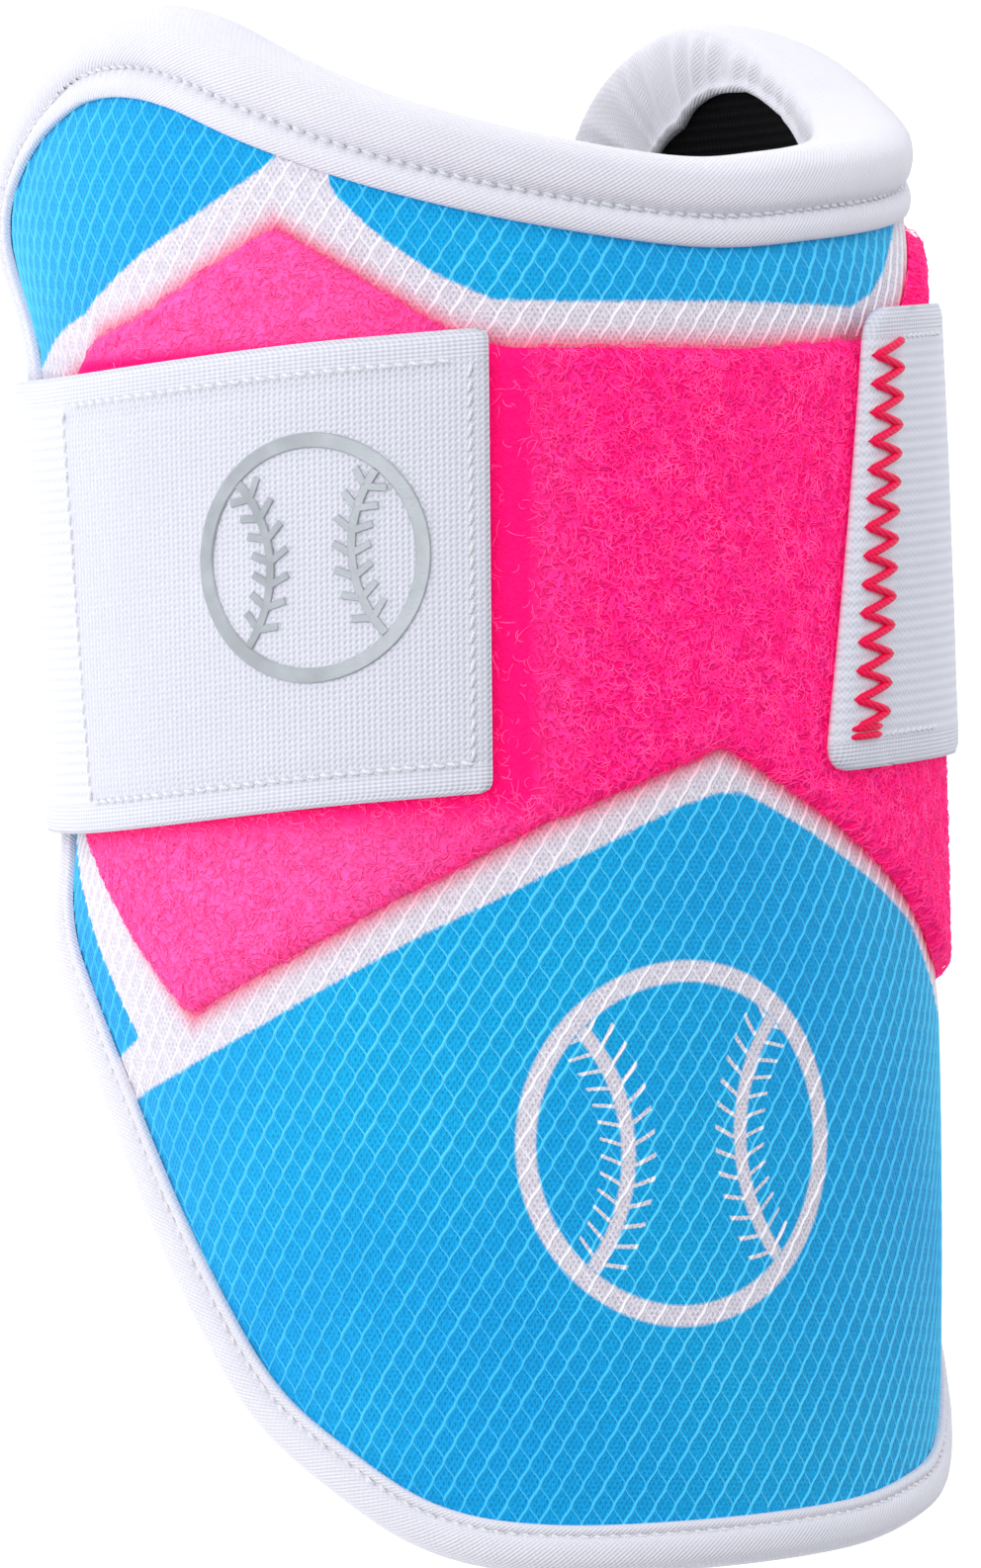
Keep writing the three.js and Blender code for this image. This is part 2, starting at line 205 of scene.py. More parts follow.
class GuardColours(bpy.types.PropertyGroup):
    """Colours of the guard's cloths, threads and prints."""

    knit: paint("Knit", colour(0, 184, 246), "Ground of the blue cover")
    rib: paint("Rib", colour(84, 213, 255), "Ribs of the blue cover")
    band: paint("Band", colour(238, 233, 245), "Ground of the white printed bands")
    band_rib: paint("Band rib", colour(248, 245, 253), "Ribs of the white printed bands")
    # The pile's ground and its fibres are one yarn: the ground is painted deeper pink as painted shade
    # between the fibres, and the fibres paler as painted light.
    pile: paint("Pile", colour(255, 0, 112), "Ground of the pink pile")
    fibre: paint("Fibre", colour(255, 56, 160), "Fibres of the pink pile")
    twill: paint("Twill", colour(232, 231, 241), "Cuff and binding")
    webbing: paint("Webbing", colour(228, 229, 241), "Elastic strap")
    thread: paint("Thread", colour(236, 236, 242), "White sewing thread")
    tack: paint("Tack", colour(234, 0, 74), "Thread of the zigzag")
    film: paint("Film", colour(158, 163, 168), "Raised film of the strap's ball")
    lining: paint("Lining", colour(6, 6, 8), "Ribbed lining")
    hook: paint("Hook", colour(226, 226, 230), "Hook tape")
    floor: paint("Floor", colour(247, 247, 249), "Floor")


class Shell:
    """The rolled surface that the pad, panel and strap follow."""

    # The strap's middle line as a share of the length, and how far it runs askew
    middle_share = 0.64
    skew = 0.036
    # The strap pinches the pad's sides, between two turns and a distance beyond its edges
    pinch_depth = 3.8
    pinch_from = 76
    pinch_full = 122
    pinch_fade = 22
    # The cuff draws the upper edge in, all of it up to one turn and none from another
    tuck_depth = 2.2
    tuck_fade = 20
    tuck_full = 92
    tuck_end = 120
    # The strap's front end sits higher along the arm than the rest
    climb_height = 1.9
    climb_from = -100
    climb_full = -48
    # Half the share of the panel's turn over which its corners are rounded
    soften = 0.012
    # The quick swell: the size and share of its waves, and where it starts and is full from the edge
    wave_size = 26
    wave_share = 0.35
    swell_from = 5
    swell_full = 24

    def __init__(self, sizes):
        self.sizes = sizes
        self.length = sizes.length
        self.base = sizes.radius
        self.taper = sizes.taper
        self.power = sizes.taper_power
        self.half_strap = sizes.strap_width / 2
        self.strap_middle = self.middle_share * self.length
        self.half_wrap = sizes.half_wrap

    def radius(self, turn, along):
        below = clamp(1 - along / self.length)
        past = abs(along - self.strap_middle) - self.half_strap
        in_strap = 1 - smoothstep(past, 0, self.pinch_fade)
        pinch = self.pinch_depth * in_strap * smoothstep(abs(turn), self.pinch_from, self.pinch_full)
        return self.base - self.taper * below ** self.power - pinch - self.tuck(turn, along)

    def tuck(self, turn, along):
        """How far the cuff draws the upper edge in towards the arm."""
        edge = rise_at(UPPER_EDGE, turn / self.half_wrap) * self.length
        if edge - along > self.tuck_fade:
            return 0
        from_sides = 1 - smoothstep(abs(turn), self.tuck_full, self.tuck_end)
        return self.tuck_depth * from_sides * (1 - smoothstep(edge - along, 0, self.tuck_fade))

    def climb(self, turn):
        """How far the strap's left stretch has climbed towards its front end."""
        return self.climb_height * smoothstep(turn, self.climb_from, self.climb_full) if turn < 0 else 0

    def turn_of(self, x):
        return math.degrees(x / self.base)

    def arc_of(self, turn):
        return math.radians(turn) * self.base

    def place(self, turn, along, lift):
        radius = self.radius(turn, along) + lift
        angle = math.radians(turn)
        offset = Vector((radius * math.sin(angle), along, radius * math.cos(angle)))
        return (AXIS + offset) * MM

    def laid(self, x, y, lift):
        """The place of a point of the cover laid flat."""
        return self.place(self.turn_of(x), y, lift)

    def panel_edges(self, turn):
        """Lower and upper edge of the loop panel at a turn, its corners slightly rounded."""
        share = turn / self.sizes.panel_turn
        edges = []
        for rows in (PANEL_LOWER_EDGE, PANEL_UPPER_EDGE):
            near = [rise_at(rows, share + step * self.soften) for step in (-1, 0, 1)]
            edges.append(self.length * sum(near) / len(near))
        return edges

    def fullness(self, x, y):
        """How far the cover stands out between its seams, simulated or by the quick formula."""
        if pressed_out:
            return swell_at(self, x, y)
        inside = smoothstep(pad_depth(self, x, y), self.swell_from, self.swell_full)
        wave = noise.noise(Vector((x, y, 0)) / self.wave_size) * self.wave_share
        return self.sizes.fullness * inside * (0.8 + wave)


# Lines on the flat cover

def through_four(values, t):
    """The smooth curve through four even values, at a share of the way between the middle two."""
    a, b, c, d = values
    return b + 0.5 * t * (c - a + t * (2 * a - 5 * b + 4 * c - d + t * (3 * (b - c) + d - a)))


def curve_through(points, samples=20):
    """Points along a smooth curve through the given ones."""
    line = []
    last = len(points) - 1
    for index in range(last):
        near = [points[clamp(index + step, 0, last)] for step in (-1, 0, 1, 2)]
        line += [through_four(near, step / samples) for step in range(samples)]
    line.append(points[-1])
    return line


def spaced(line, count):
    """The line again as count equal steps."""
    lengths = [0]
    for a, b in zip(line, line[1:]):
        lengths.append(lengths[-1] + (b - a).length)
    result = []
    segment = 0
    for step in range(count + 1):
        wanted = lengths[-1] * step / count
        while segment < len(line) - 2 and lengths[segment + 1] < wanted:
            segment += 1
        run = lengths[segment + 1] - lengths[segment]
        share = (wanted - lengths[segment]) / run if run else 0
        result.append(line[segment].lerp(line[segment + 1], clamp(share)))
    return result


def line_length(line):
    return sum((b - a).length for a, b in zip(line, line[1:]))


def way_at(line, index, reach=1):
    """The direction of a line at one of its points, from the points on both sides."""
    return (line[min(len(line) - 1, index + reach)] - line[max(0, index - reach)]).normalized()


def sideways(way):
    return Vector((way.y, -way.x))


def cover_curves(shell):
    """Lower and upper edge of the pad, laid flat, from left to right."""
    reach = shell.arc_of(shell.sizes.half_wrap)
    return [
        curve_through([Vector((share * reach, rise * shell.length)) for share, rise in rows])
        for rows in (LOWER_EDGE, UPPER_EDGE)
    ]


# Steps along the pad's lower and upper edge and along its sides, in the search tree of its edge
EDGE_STEPS = 300
SIDE_STEPS = 30
pad_edges = {}


def straight(start, end, steps):
    return [start.lerp(end, step / steps) for step in range(steps + 1)]


def edge_tree(shell):
    """A search tree of the pad's edge, and the edge's curves, made once for each shape of the shell."""
    key = (shell.length, shell.base)
    if key not in pad_edges:
        lower, upper = cover_curves(shell)
        points = spaced(lower, EDGE_STEPS) + spaced(upper, EDGE_STEPS)
        for side in (0, -1):
            points += straight(lower[side], upper[side], SIDE_STEPS)
        tree = kdtree.KDTree(len(points))
        for index, point in enumerate(points):
            tree.insert((point.x, point.y, 0), index)
        tree.balance()
        pad_edges[key] = (tree, lower, upper)
    return pad_edges[key]


def height_over(line, x):
    """Height of a left to right curve at x, or None beyond its ends."""
    if x <= line[0].x or x >= line[-1].x:
        return None
    low, high = 0, len(line) - 1
    while high - low > 1:
        middle = (low + high) // 2
        if line[middle].x <= x:
            low = middle
        else:
            high = middle
    run = line[high].x - line[low].x
    share = (x - line[low].x) / run if run else 0
    return lerp(line[low].y, line[high].y, share)


def pad_depth(shell, x, y):
    """Distance of a flat point from the pad's edge, 0 outside it."""
    tree, lower, upper = edge_tree(shell)
    low, high = height_over(lower, x), height_over(upper, x)
    if low is None or high is None or not low < y < high:
        return 0
    return tree.find((x, y, 0))[2]


# The cover's simulated swell

# Columns and rows of the skin that is pressed out, how many frames that takes, how far the skin ends
# before the cover does, the most it may swell, and the swell at its points
SKIN_COLUMNS = 72
SKIN_ROWS = 48
SKIN_FRAMES = 14
SKIN_INSET = 0.01
MOST_SWELL = 1.1
pressed_out = []

# How far the binding, the cuff, the strap and the loop panel hold the cover down round themselves
UNDER_BINDING = 5.5
UNDER_CUFF = 11
BESIDE_STRAP = 3
BESIDE_PANEL = 1


def skin_reach(shell):
    return shell.arc_of(shell.half_wrap) - SKIN_INSET


def skin_place(shell, column, row):
    """A point of the cover's skin, whose columns run straight along the arm."""
    _tree, lower, upper = edge_tree(shell)
    reach = skin_reach(shell)
    x = lerp(-reach, reach, column / SKIN_COLUMNS)
    return Vector((x, lerp(height_over(lower, x), height_over(upper, x), row / SKIN_ROWS)))


def window(place, last):
    """The four steps from 0 to last round a place, and its share of the way between the middle two."""
    first = min(last - 1, int(place))
    return [clamp(first + step, 0, last) for step in (-1, 0, 1, 2)], place - first


def swell_at(shell, x, y):
    """The simulated swell at a flat point, smooth between the skin's points."""
    _tree, lower, upper = edge_tree(shell)
    reach = skin_reach(shell)
    x = clamp(x, -reach, reach)
    low, high = height_over(lower, x), height_over(upper, x)
    columns, past_column = window((x + reach) / (2 * reach) * SKIN_COLUMNS, SKIN_COLUMNS)
    rows, past_row = window(clamp((y - low) / (high - low)) * SKIN_ROWS, SKIN_ROWS)
    along = [
        through_four([pressed_out[r * (SKIN_COLUMNS + 1) + c] for c in columns], past_column)
        for r in rows
    ]
    return through_four(along, past_row)


def is_sewn_down(shell, x, y):
    """True under the trims, the loop panel and the strap, which hold the cover down."""
    _tree, lower, upper = edge_tree(shell)
    if pad_depth(shell, x, y) < UNDER_BINDING or height_over(upper, x) - y < UNDER_CUFF:
        return True
    turn = shell.turn_of(x)
    if abs(turn) > shell.sizes.panel_turn:
        return abs(y - shell.strap_middle) < shell.half_strap + BESIDE_STRAP
    low, high = shell.panel_edges(turn)
    return low - BESIDE_PANEL < y < high + BESIDE_PANEL


# Meshes

def add_piece(name, points, faces, material, laid=None, smooth=True):
    """A mesh object from points in metres. laid holds each point's place on the flat cloth, mm."""
    mesh = bpy.data.meshes.new(name)
    mesh.from_pydata(points, [], faces)
    if laid:
        layer = mesh.uv_layers.new(name="laid_flat")
        places = [value for loop in mesh.loops for value in laid[loop.vertex_index]]
        layer.uv.foreach_set("vector", places)
    if smooth:
        mesh.polygons.foreach_set("use_smooth", [True] * len(mesh.polygons))
    mesh.validate()
    mesh.update()
    piece = bpy.data.objects.new(name, mesh)
    bpy.context.scene.collection.objects.link(piece)
    mesh.materials.append(material)
    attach(piece, "root")
    return piece


def grid_faces(columns, rows, start=0, flip=False):
    """Faces of a grid whose points run row by row, columns + 1 to a row."""
    faces = []
    for row in range(rows):
        for column in range(columns):
            a = start + row * (columns + 1) + column
            corners = (a, a + 1, a + columns + 2, a + columns + 1)
            faces.append(corners[::-1] if flip else corners)
    return faces


def rim_faces(columns, rows, behind):
    """Faces that join the rims of two grids, of which the second starts at behind."""
    width = columns + 1
    rim = list(range(columns))
    rim += [row * width + columns for row in range(rows)]
    rim += [rows * width + column for column in range(columns, 0, -1)]
    rim += [row * width for row in range(rows, 0, -1)]
    return [
        (a + behind, b + behind, b, a)
        for a, b in zip(rim, rim[1:] + rim[:1])
    ]


def double_grid(columns, rows, front_at, back_at):
    """Points and faces of a closed sheet between two surfaces."""
    shares = [(c / columns, r / rows) for r in range(rows + 1) for c in range(columns + 1)]
    points = [front_at(*share) for share in shares] + [back_at(*share) for share in shares]
    behind = len(shares)
    faces = grid_faces(columns, rows) + grid_faces(columns, rows, behind, True)
    return points, faces + rim_faces(columns, rows, behind)


def swept(rings, loops=False):
    """Points and faces of a tube through rings of equally many points, a loop or with closed ends."""
    around = len(rings[0])
    points = [point for ring in rings for point in ring]
    faces = []
    for row in range(len(rings) if loops else len(rings) - 1):
        beyond = (row + 1) % len(rings) * around
        for k in range(around):
            a, b = row * around + k, row * around + (k + 1) % around
            faces.append((a, b, beyond + (k + 1) % around, beyond + k))
    if loops:
        return points, faces
    last = (len(rings) - 1) * around
    faces.append(tuple(range(around - 1, -1, -1)))
    faces.append(tuple(last + k for k in range(around)))
    return points, faces


# A way that no thread or fibre runs along
OFF_ALL_THREADS = Vector((0.31, 0.17, 0.93))


def thread_tube(line, radius, sides, ends=0.5):
    """A round thread along points in metres, with its ends drawn in to a share of the radius."""
    rings = []
    for index, point in enumerate(line):
        along = way_at(line, index)
        side = along.cross(OFF_ALL_THREADS).normalized()
        up = side.cross(along)
        wide = radius * (ends if index in (0, len(line) - 1) else 1)
        rings.append([
            point + (side * math.cos(turn) + up * math.sin(turn)) * wide
            for turn in (2 * math.pi * k / sides for k in range(sides))
        ])
    return swept(rings)


class Batch:
    """Collects many small closed shapes into one mesh."""

    def __init__(self):
        self.points = []
        self.faces = []

    def add(self, points, faces):
        start = len(self.points)
        self.points += points
        self.faces += [tuple(start + corner for corner in face) for face in faces]


# Shader expressions

def math_node(operation):
    """A method that adds a Math node of one operation."""

    def method(self, *others):
        return self.shader.node("Math", {"operation": operation}, dict(enumerate((self, *others))))

    return method


class Wire:
    """A shader socket that adds its Math nodes when it is used in an expression."""

    def __init__(self, shader, socket):
        self.shader = shader
        self.socket = socket

    __add__ = __radd__ = math_node("ADD")
    __sub__ = math_node("SUBTRACT")
    __mul__ = __rmul__ = math_node("MULTIPLY")
    __truediv__ = math_node("DIVIDE")
    __pow__ = math_node("POWER")
    __abs__ = math_node("ABSOLUTE")
    sine = math_node("SINE")
    fraction = math_node("FRACT")
    root = math_node("SQRT")
    atan2 = math_node("ARCTAN2")
    least = math_node("MINIMUM")
    most = math_node("MAXIMUM")

    def __rsub__(self, other):
        return self.shader.node("Math", {"operation": "SUBTRACT"}, {0: other, 1: self})

    def waves(self, pitch):
        """A sine wave with one crest to each pitch."""
        return (self * (2 * math.pi / pitch)).sine()

    def ramp(self, low, high):
        """0 below low and 1 above high, smooth between."""
        return self.shader.node(
            "MapRange",
            {"interpolation_type": "SMOOTHSTEP"},
            {"Value": self, "From Min": low, "From Max": high},
        )


class Shader:
    """One material and its nodes."""

    def __init__(self, name, **uniform):
        self.material = bpy.data.materials.new(name)
        self.material.use_nodes = True
        self.tree = self.material.node_tree
        self.surface = self.tree.nodes["Principled BSDF"]
        for key, value in uniform.items():
            plain = key.replace("_", " ").title().replace("Ior", "IOR")
            self.surface.inputs[plain].default_value = value

    def node(self, kind, settings=None, values=None, out=0):
        """Adds a node, with its settings and then the values or links of its sockets."""
        made = self.tree.nodes.new("ShaderNode" + kind)
        for name, setting in (settings or {}).items():
            if name == "stops":
                self.lay_curve(made, setting)
            else:
                setattr(made, name, setting)
        for key, value in (values or {}).items():
            self.give(made.inputs[key], value)
        return Wire(self, made.outputs[out])

    def lay_curve(self, made, stops):
        """Sets a Float Curve's points, with straight runs between them."""
        curve = made.mapping.curves[0]
        while len(curve.points) < len(stops):
            curve.points.new(0.5, 0.5)
        for point, (x, y) in zip(curve.points, stops):
            point.location = x, y
            point.handle_type = "VECTOR"
        made.mapping.update()

    def give(self, socket, value):
        if isinstance(value, Wire):
            self.tree.links.new(value.socket, socket)
        elif socket.type == "RGBA" and len(value) == 3:
            socket.default_value = (*value, 1)
        else:
            socket.default_value = value

    def mix(self, factor, first, second):
        return self.node("Mix", {"data_type": "RGBA"}, {0: factor, 6: first, 7: second}, out=2)

    def scaled(self, tint, share):
        """A colour times a share that varies over the surface."""
        return self.node("VectorMath", {"operation": "SCALE"}, {0: tint, "Scale": share})

    def parts(self, place, axes):
        return [self.node("SeparateXYZ", None, {0: place}, out=axis) for axis in axes]

    def position(self):
        """The object's own x, y and z in millimetres, measured from the arm's axis."""
        parts = self.parts(self.node("TexCoord", out="Object"), "XYZ")
        return [part / MM - centre for part, centre in zip(parts, AXIS)]

    def laid_flat(self, radius):
        """x and y of the cover laid flat."""
        x, y, z = self.position()
        return x.atan2(z) * radius, y

    def cloth_lay(self):
        """Place on the cloth before it was sewn, from the mesh."""
        return self.parts(self.node("UVMap", {"uv_map": "laid_flat"}), "XY")

    def point(self, x, y, z=0.0):
        return self.node("CombineXYZ", None, {"X": x, "Y": y, "Z": z})

    def noise(self, x, y, scale, detail=2.0, z=0.0):
        """Smooth noise from 0 to 1, with about scale bumps to a millimetre."""
        values = {"Vector": self.point(x, y, z), "Scale": scale, "Detail": detail}
        return self.node("TexNoise", None, values)

    def cells(self, x, y, scale):
        """Distance to the nearest of scattered points, about scale of them to a millimetre."""
        return self.node("TexVoronoi", None, {"Vector": self.point(x, y), "Scale": scale})

    def line_over(self, rows, x, reach, top):
        """The height of a line of points over x, from a Float Curve that goes from -reach to reach."""
        stops = [((place + reach) / (2 * reach), height / top) for place, height in rows]
        share = (x + reach) / (2 * reach)
        return self.node("FloatCurve", {"stops": stops}, {"Value": share}) * top

    def paint(self, tint):
        self.give(self.surface.inputs["Base Color"], tint)

    def roughen(self, wire):
        self.give(self.surface.inputs["Roughness"], wire)

    def raise_relief(self, height, distance):
        """height is from 0 to 1, and distance is what 1 stands for, in millimetres."""
        bump = self.node("Bump", None, {"Height": height, "Distance": distance * MM})
        self.give(self.surface.inputs["Normal"], bump)


def shaded(tint, share):
    """A colour darkened or lightened by one share."""
    return [min(1, value * share) for value in tint]


# How much of the pile's colour the cover beside it has taken
BLEED = 0.8

# The printed ball: the turn and the distance along the arm of its centre, and its line's width
ICON_TURN = -13.5
ICON_ALONG = 56.5
ICON_STROKE = 2.9

# How far a seam's own centre lies from the ball's, and half its line's width, as shares of the
# ball's radius and of its outline's width
SEAM_SPREAD = 1.35
SEAM_HALF = 0.35

# What the dye's deeper spots keep of red, green and blue
DEEP_DYE = (0.55, 0.86, 0.97)


def ball_lines(x, y, radius, stroke):
    """Mask of a ball's outline, its two seams and their stitches, round x = 0, y = 0."""
    soft = 0.3
    reach = (x * x + y * y).root()
    lines = 1 - abs(reach - (radius - stroke / 2)).ramp(stroke / 2 - soft, stroke / 2 + soft)
    inside = 1 - reach.ramp(radius - stroke - soft, radius - stroke + soft)
    for side in (-1, 1):
        across = x - side * SEAM_SPREAD * radius
        off = abs((across * across + y * y).root() - radius)
        seam = 1 - off.ramp(SEAM_HALF * stroke - soft, SEAM_HALF * stroke + soft)
        angle = y.atan2(across * -side)
        every = (angle * 9 - 0.9 * off / stroke * 0.5 + 0.5).fraction()
        tick = 1 - abs(every - 0.5).ramp(0.08, 0.13)
        near = 1 - off.ramp(1.35 * stroke, 1.35 * stroke + soft)
        lines = lines.most(seam.most(tick * near) * inside)
    return lines


def cover_colour(shader, sizes, ground, band, pink):
    """Colour of the printed cover: blue ground with white bands and the ball.

    The pile's colour has bled a little into the cover beside it.
    """
    x, y = shader.laid_flat(sizes.radius)
    turn = x / math.radians(sizes.radius)
    heights = [
        shader.line_over(rows, turn, sizes.half_wrap, sizes.length)
        for rows in (BAND_TOP, BAND_FOOT, SIDE_TOP, SIDE_FOOT)
    ]
    fuzz = (shader.noise(x, y, 1.6) - 0.5) * 1.1
    soft = 0.35
    above_top, above_foot, above_side_top, above_side_foot = (
        (y + fuzz - height).ramp(-soft, soft) for height in heights
    )
    white = (1 - above_top) * above_foot * (1 - (1 - above_side_top) * above_side_foot)
    icon_x = x - math.radians(ICON_TURN) * sizes.radius
    icon = ball_lines(icon_x, y - ICON_ALONG, sizes.icon / 2, ICON_STROKE)
    tone = shader.noise(x, y, 0.02, 1.0).ramp(0.3, 0.7)
    deep = [value * share for value, share in zip(ground, DEEP_DYE)]
    print_colour = shader.mix(white.most(icon), shader.mix(tone, ground, deep), band)
    panel_foot, panel_top = (
        shader.line_over(
            [(share * sizes.panel_turn, rise * sizes.length) for share, rise in rows],
            turn, sizes.panel_turn, sizes.length,
        )
        for rows in (PANEL_LOWER_EDGE, PANEL_UPPER_EDGE)
    )
    outside = (panel_foot - y).most(y - panel_top)
    bleed = (1 - (outside + fuzz * 0.6).ramp(-0.6, 5)) ** 2.0 * BLEED
    return shader.mix(bleed, print_colour, pink), x, y


# The two ways of the cover's ribs on the flat cover, and how many fine lines cross each cell
STRONG_RIB = Vector((1.86, 2.60))
WEAK_RIB = Vector((1.32, -2.85))
LINES_IN_CELL = 4

# A paler pink for the fibres; the pile is painted this paler pink as painted sheen where x lies left of
# these, the side that the key lamp grazes
PALE_FIBRE = colour(255, 108, 188)
PAINTED_SHEEN_LEFT = (-60, -22)


def knit_finish(sizes, colours):
    """Fine dotted knit between the cover's ribs."""
    shader = Shader("cover_knit", roughness=0.7, specular_ior_level=0.2, sheen_weight=0.08)
    tint, x, y = cover_colour(shader, sizes, colours.knit, colours.band, colours.pile)
    holes = 1 - shader.cells(x, y * 1.15, 1.7).ramp(0.1, 0.62)
    fine = shader.noise(x, y, 5.5)
    turns = 2 * math.pi * LINES_IN_CELL / STRONG_RIB.cross(WEAK_RIB)
    first, second = (
        (x * (rib.y * turns) - y * (rib.x * turns)).sine() for rib in (STRONG_RIB, WEAK_RIB)
    )
    lines = first.most(second)
    shader.paint(shader.scaled(tint, (0.77 + 0.19 * holes + 0.1 * lines) * (0.92 + 0.16 * fine)))
    shader.raise_relief(holes * 0.4 + lines * 0.4 + fine * 0.2, 0.16)
    return shader.material


def rib_finish(sizes, colours):
    """Raised ribs of the cover."""
    shader = Shader("cover_rib", roughness=0.6, specular_ior_level=0.3, sheen_weight=0.08)
    tint, x, y = cover_colour(shader, sizes, colours.rib, colours.band_rib, colours.pile)
    fine = shader.noise(x, y, 6.0)
    shader.paint(shader.scaled(tint, 0.85 + 0.3 * fine))
    shader.raise_relief(fine, 0.08)
    return shader.material


def pile_finish(sizes, colours):
    """Ground of the loop panel, with tangled threads in its relief, pressed smooth by the strap. It has
    painted lit threads, a painted shadow along the strap's lower edge, painted sheen towards the left
    and a faint painted glow.
    """
    shader = Shader("pile_ground", roughness=0.85, specular_ior_level=0.2, **painted_glow(colours))
    x, y = shader.laid_flat(sizes.radius)
    curls = [
        (shader.noise(x, y, scale, 1.0, layer) * turns).sine()
        for layer, scale, turns in ((0.0, 0.42, 44), (7.0, 0.5, 38))
    ]
    tangle = curls[0].most(curls[1])
    clumps = shader.noise(x, y, 0.22, 3.0).ramp(0.3, 0.7)
    share = (y - Shell.middle_share * sizes.length) / sizes.strap_width + 0.5
    front = (share * (FRONT_END[1] - FRONT_END[0]) + FRONT_END[0]) * math.radians(sizes.radius)
    # Deeper, smoother pink beside the strap's front end, where the strap presses the pile; the strip
    # below the strap's lower edge is painted shadow.
    pressed = (1 - (x - front).ramp(4.5, 8)) * share.ramp(-0.09, 0.0) * (1 - share.ramp(0.98, 1.02))
    # Painted light: paler thread tops of the fibres' colour in the ground's tangle and clumps, fewer in
    # the pressed and shadowed strip.
    light = tangle.ramp(0.1, 1.0) * (0.3 + 0.6 * clumps) * (1 - 0.9 * pressed)
    # Painted sheen: paler towards the left, the side that the key lamp grazes, but not in the pressed
    # and shadowed strip.
    wear_and_painted_sheen = (1 - shader.position()[0].ramp(*PAINTED_SHEEN_LEFT)) * (1 - pressed)
    ground = shader.mix(light, colours.pile, colours.fibre)
    shader.paint(shader.mix(wear_and_painted_sheen * 0.75, ground, PALE_FIBRE))
    shader.raise_relief(tangle * (1 - 0.7 * pressed), 0.2)
    return shader.material


def painted_glow(colours):
    """A faint painted glow on the pile's pink, which brightens it as light would."""
    return {"emission_color": (*colours.pile, 1), "emission_strength": 0.25}


def fibre_finish(colours):
    """Glossy curly fibres of the pile, paler than its ground as painted light, paler at random, painted
    paler towards the left as painted sheen, and given a faint painted glow.
    """
    shader = Shader("pile_fibre", roughness=0.6, specular_ior_level=0.1, **painted_glow(colours))
    x, y, z = shader.position()
    tone = shader.noise(x, y, 0.3, 3.0, z).ramp(0.3, 0.7)
    # Painted sheen: the fibres are paler towards the left, the side that the key lamp grazes.
    wear_and_painted_sheen = 1 - x.ramp(*PAINTED_SHEEN_LEFT)
    shader.paint(shader.mix((tone * 0.7 + wear_and_painted_sheen * 0.7).least(1.0), colours.fibre, PALE_FIBRE))
    return shader.material


def twill_finish(name, tint):
    """Fine diagonal twill of the cuff and the binding."""
    shader = Shader(name, roughness=0.66, sheen_weight=0.3)
    x, y = shader.cloth_lay()
    height = (x * 0.8 + y).waves(0.62) * 0.35 + (x - y * 0.6).waves(0.85) * 0.15 + 0.5
    shade = height.ramp(0.15, 0.7) * 0.75 + shader.noise(x, y, 0.08, 3.0) * 0.25
    shader.paint(shader.mix(shade, shaded(tint, 0.84), tint))
    shader.raise_relief(height, 0.12)
    return shader.material


def webbing_finish(sizes, colours):
    """Woven elastic: small bumps on the front end, ribs round the arm elsewhere, tight selvedges."""
    shader = Shader("elastic_webbing", roughness=0.6, sheen_weight=0.2)
    x, y = shader.cloth_lay()
    half = sizes.strap_width / 2
    edge = (half - abs(y - half)).least(20.0)
    pitch = 0.8
    columns = x.waves(pitch)
    rows = (y * (2 * math.pi / 0.84) + x.waves(2 * pitch) * 0.8).sine()
    bumps = columns * 0.26 + rows * 0.1 + (columns * rows) * 0.24 + 0.5
    ribs = y.waves(1.45) * 0.15 + (columns * rows) * 0.2 + 0.5
    round_arm, _y = shader.laid_flat(1.0)
    on_front = round_arm.ramp(-1.62, -1.59) * (1 - round_arm.ramp(-0.1, 0.0))
    plain = bumps * on_front + ribs * (1 - on_front)
    tight = y.waves(0.55) * 0.2 + columns * 0.16 + 0.5
    inner = edge.ramp(3.6, 4.1)
    height = plain * inner + tight * (1 - inner)
    shade = height.ramp(0.1, 0.75) * 0.8 + shader.noise(x, y, 0.05, 3.0) * 0.2
    shader.paint(shader.mix(shade, shaded(colours.webbing, 0.72), colours.webbing))
    shader.raise_relief(height, 0.22)
    return shader.material


def thread_finish(name, tint, roughness, twist, **uniform):
    """Twisted sewing thread."""
    shader = Shader(name, roughness=roughness, **uniform)
    x, y, z = shader.position()
    strands = (x + y + z).waves(twist) * 0.5 + 0.5
    shader.paint(shader.mix(strands, shaded(tint, 0.88), tint))
    shader.raise_relief(strands, 0.08)
    return shader.material


def film_finish(colours):
    """Satin film of the raised ball on the strap."""
    shader = Shader("satin_film", roughness=0.38, metallic=0.25)
    x, y, z = shader.position()
    wear_and_painted_sheen = shader.noise(x, y, 0.25, 4.0, z)
    shader.paint(shader.mix(wear_and_painted_sheen.ramp(0.3, 0.75), colours.film, shaded(colours.film, 1.25)))
    shader.roughen(0.32 + 0.16 * wear_and_painted_sheen)
    shader.raise_relief(shader.noise(x, y, 3.0, 2.0, z), 0.04)
    return shader.material


def lining_finish(sizes, colours):
    """Black knit with fine ribs across the arm."""
    shader = Shader("rib_lining", roughness=0.95, specular_ior_level=0.1)
    x, y = shader.laid_flat(sizes.radius)
    ribs = y.waves(1.5) * 0.5 + 0.5
    loops = x.waves(0.9) * 0.5 + 0.5
    height = ribs * 0.75 + ribs * loops * 0.25
    shader.paint(shader.mix(height ** 2.0, colours.lining, shaded(colours.lining, 3)))
    shader.raise_relief(height, 0.35)
    return shader.material


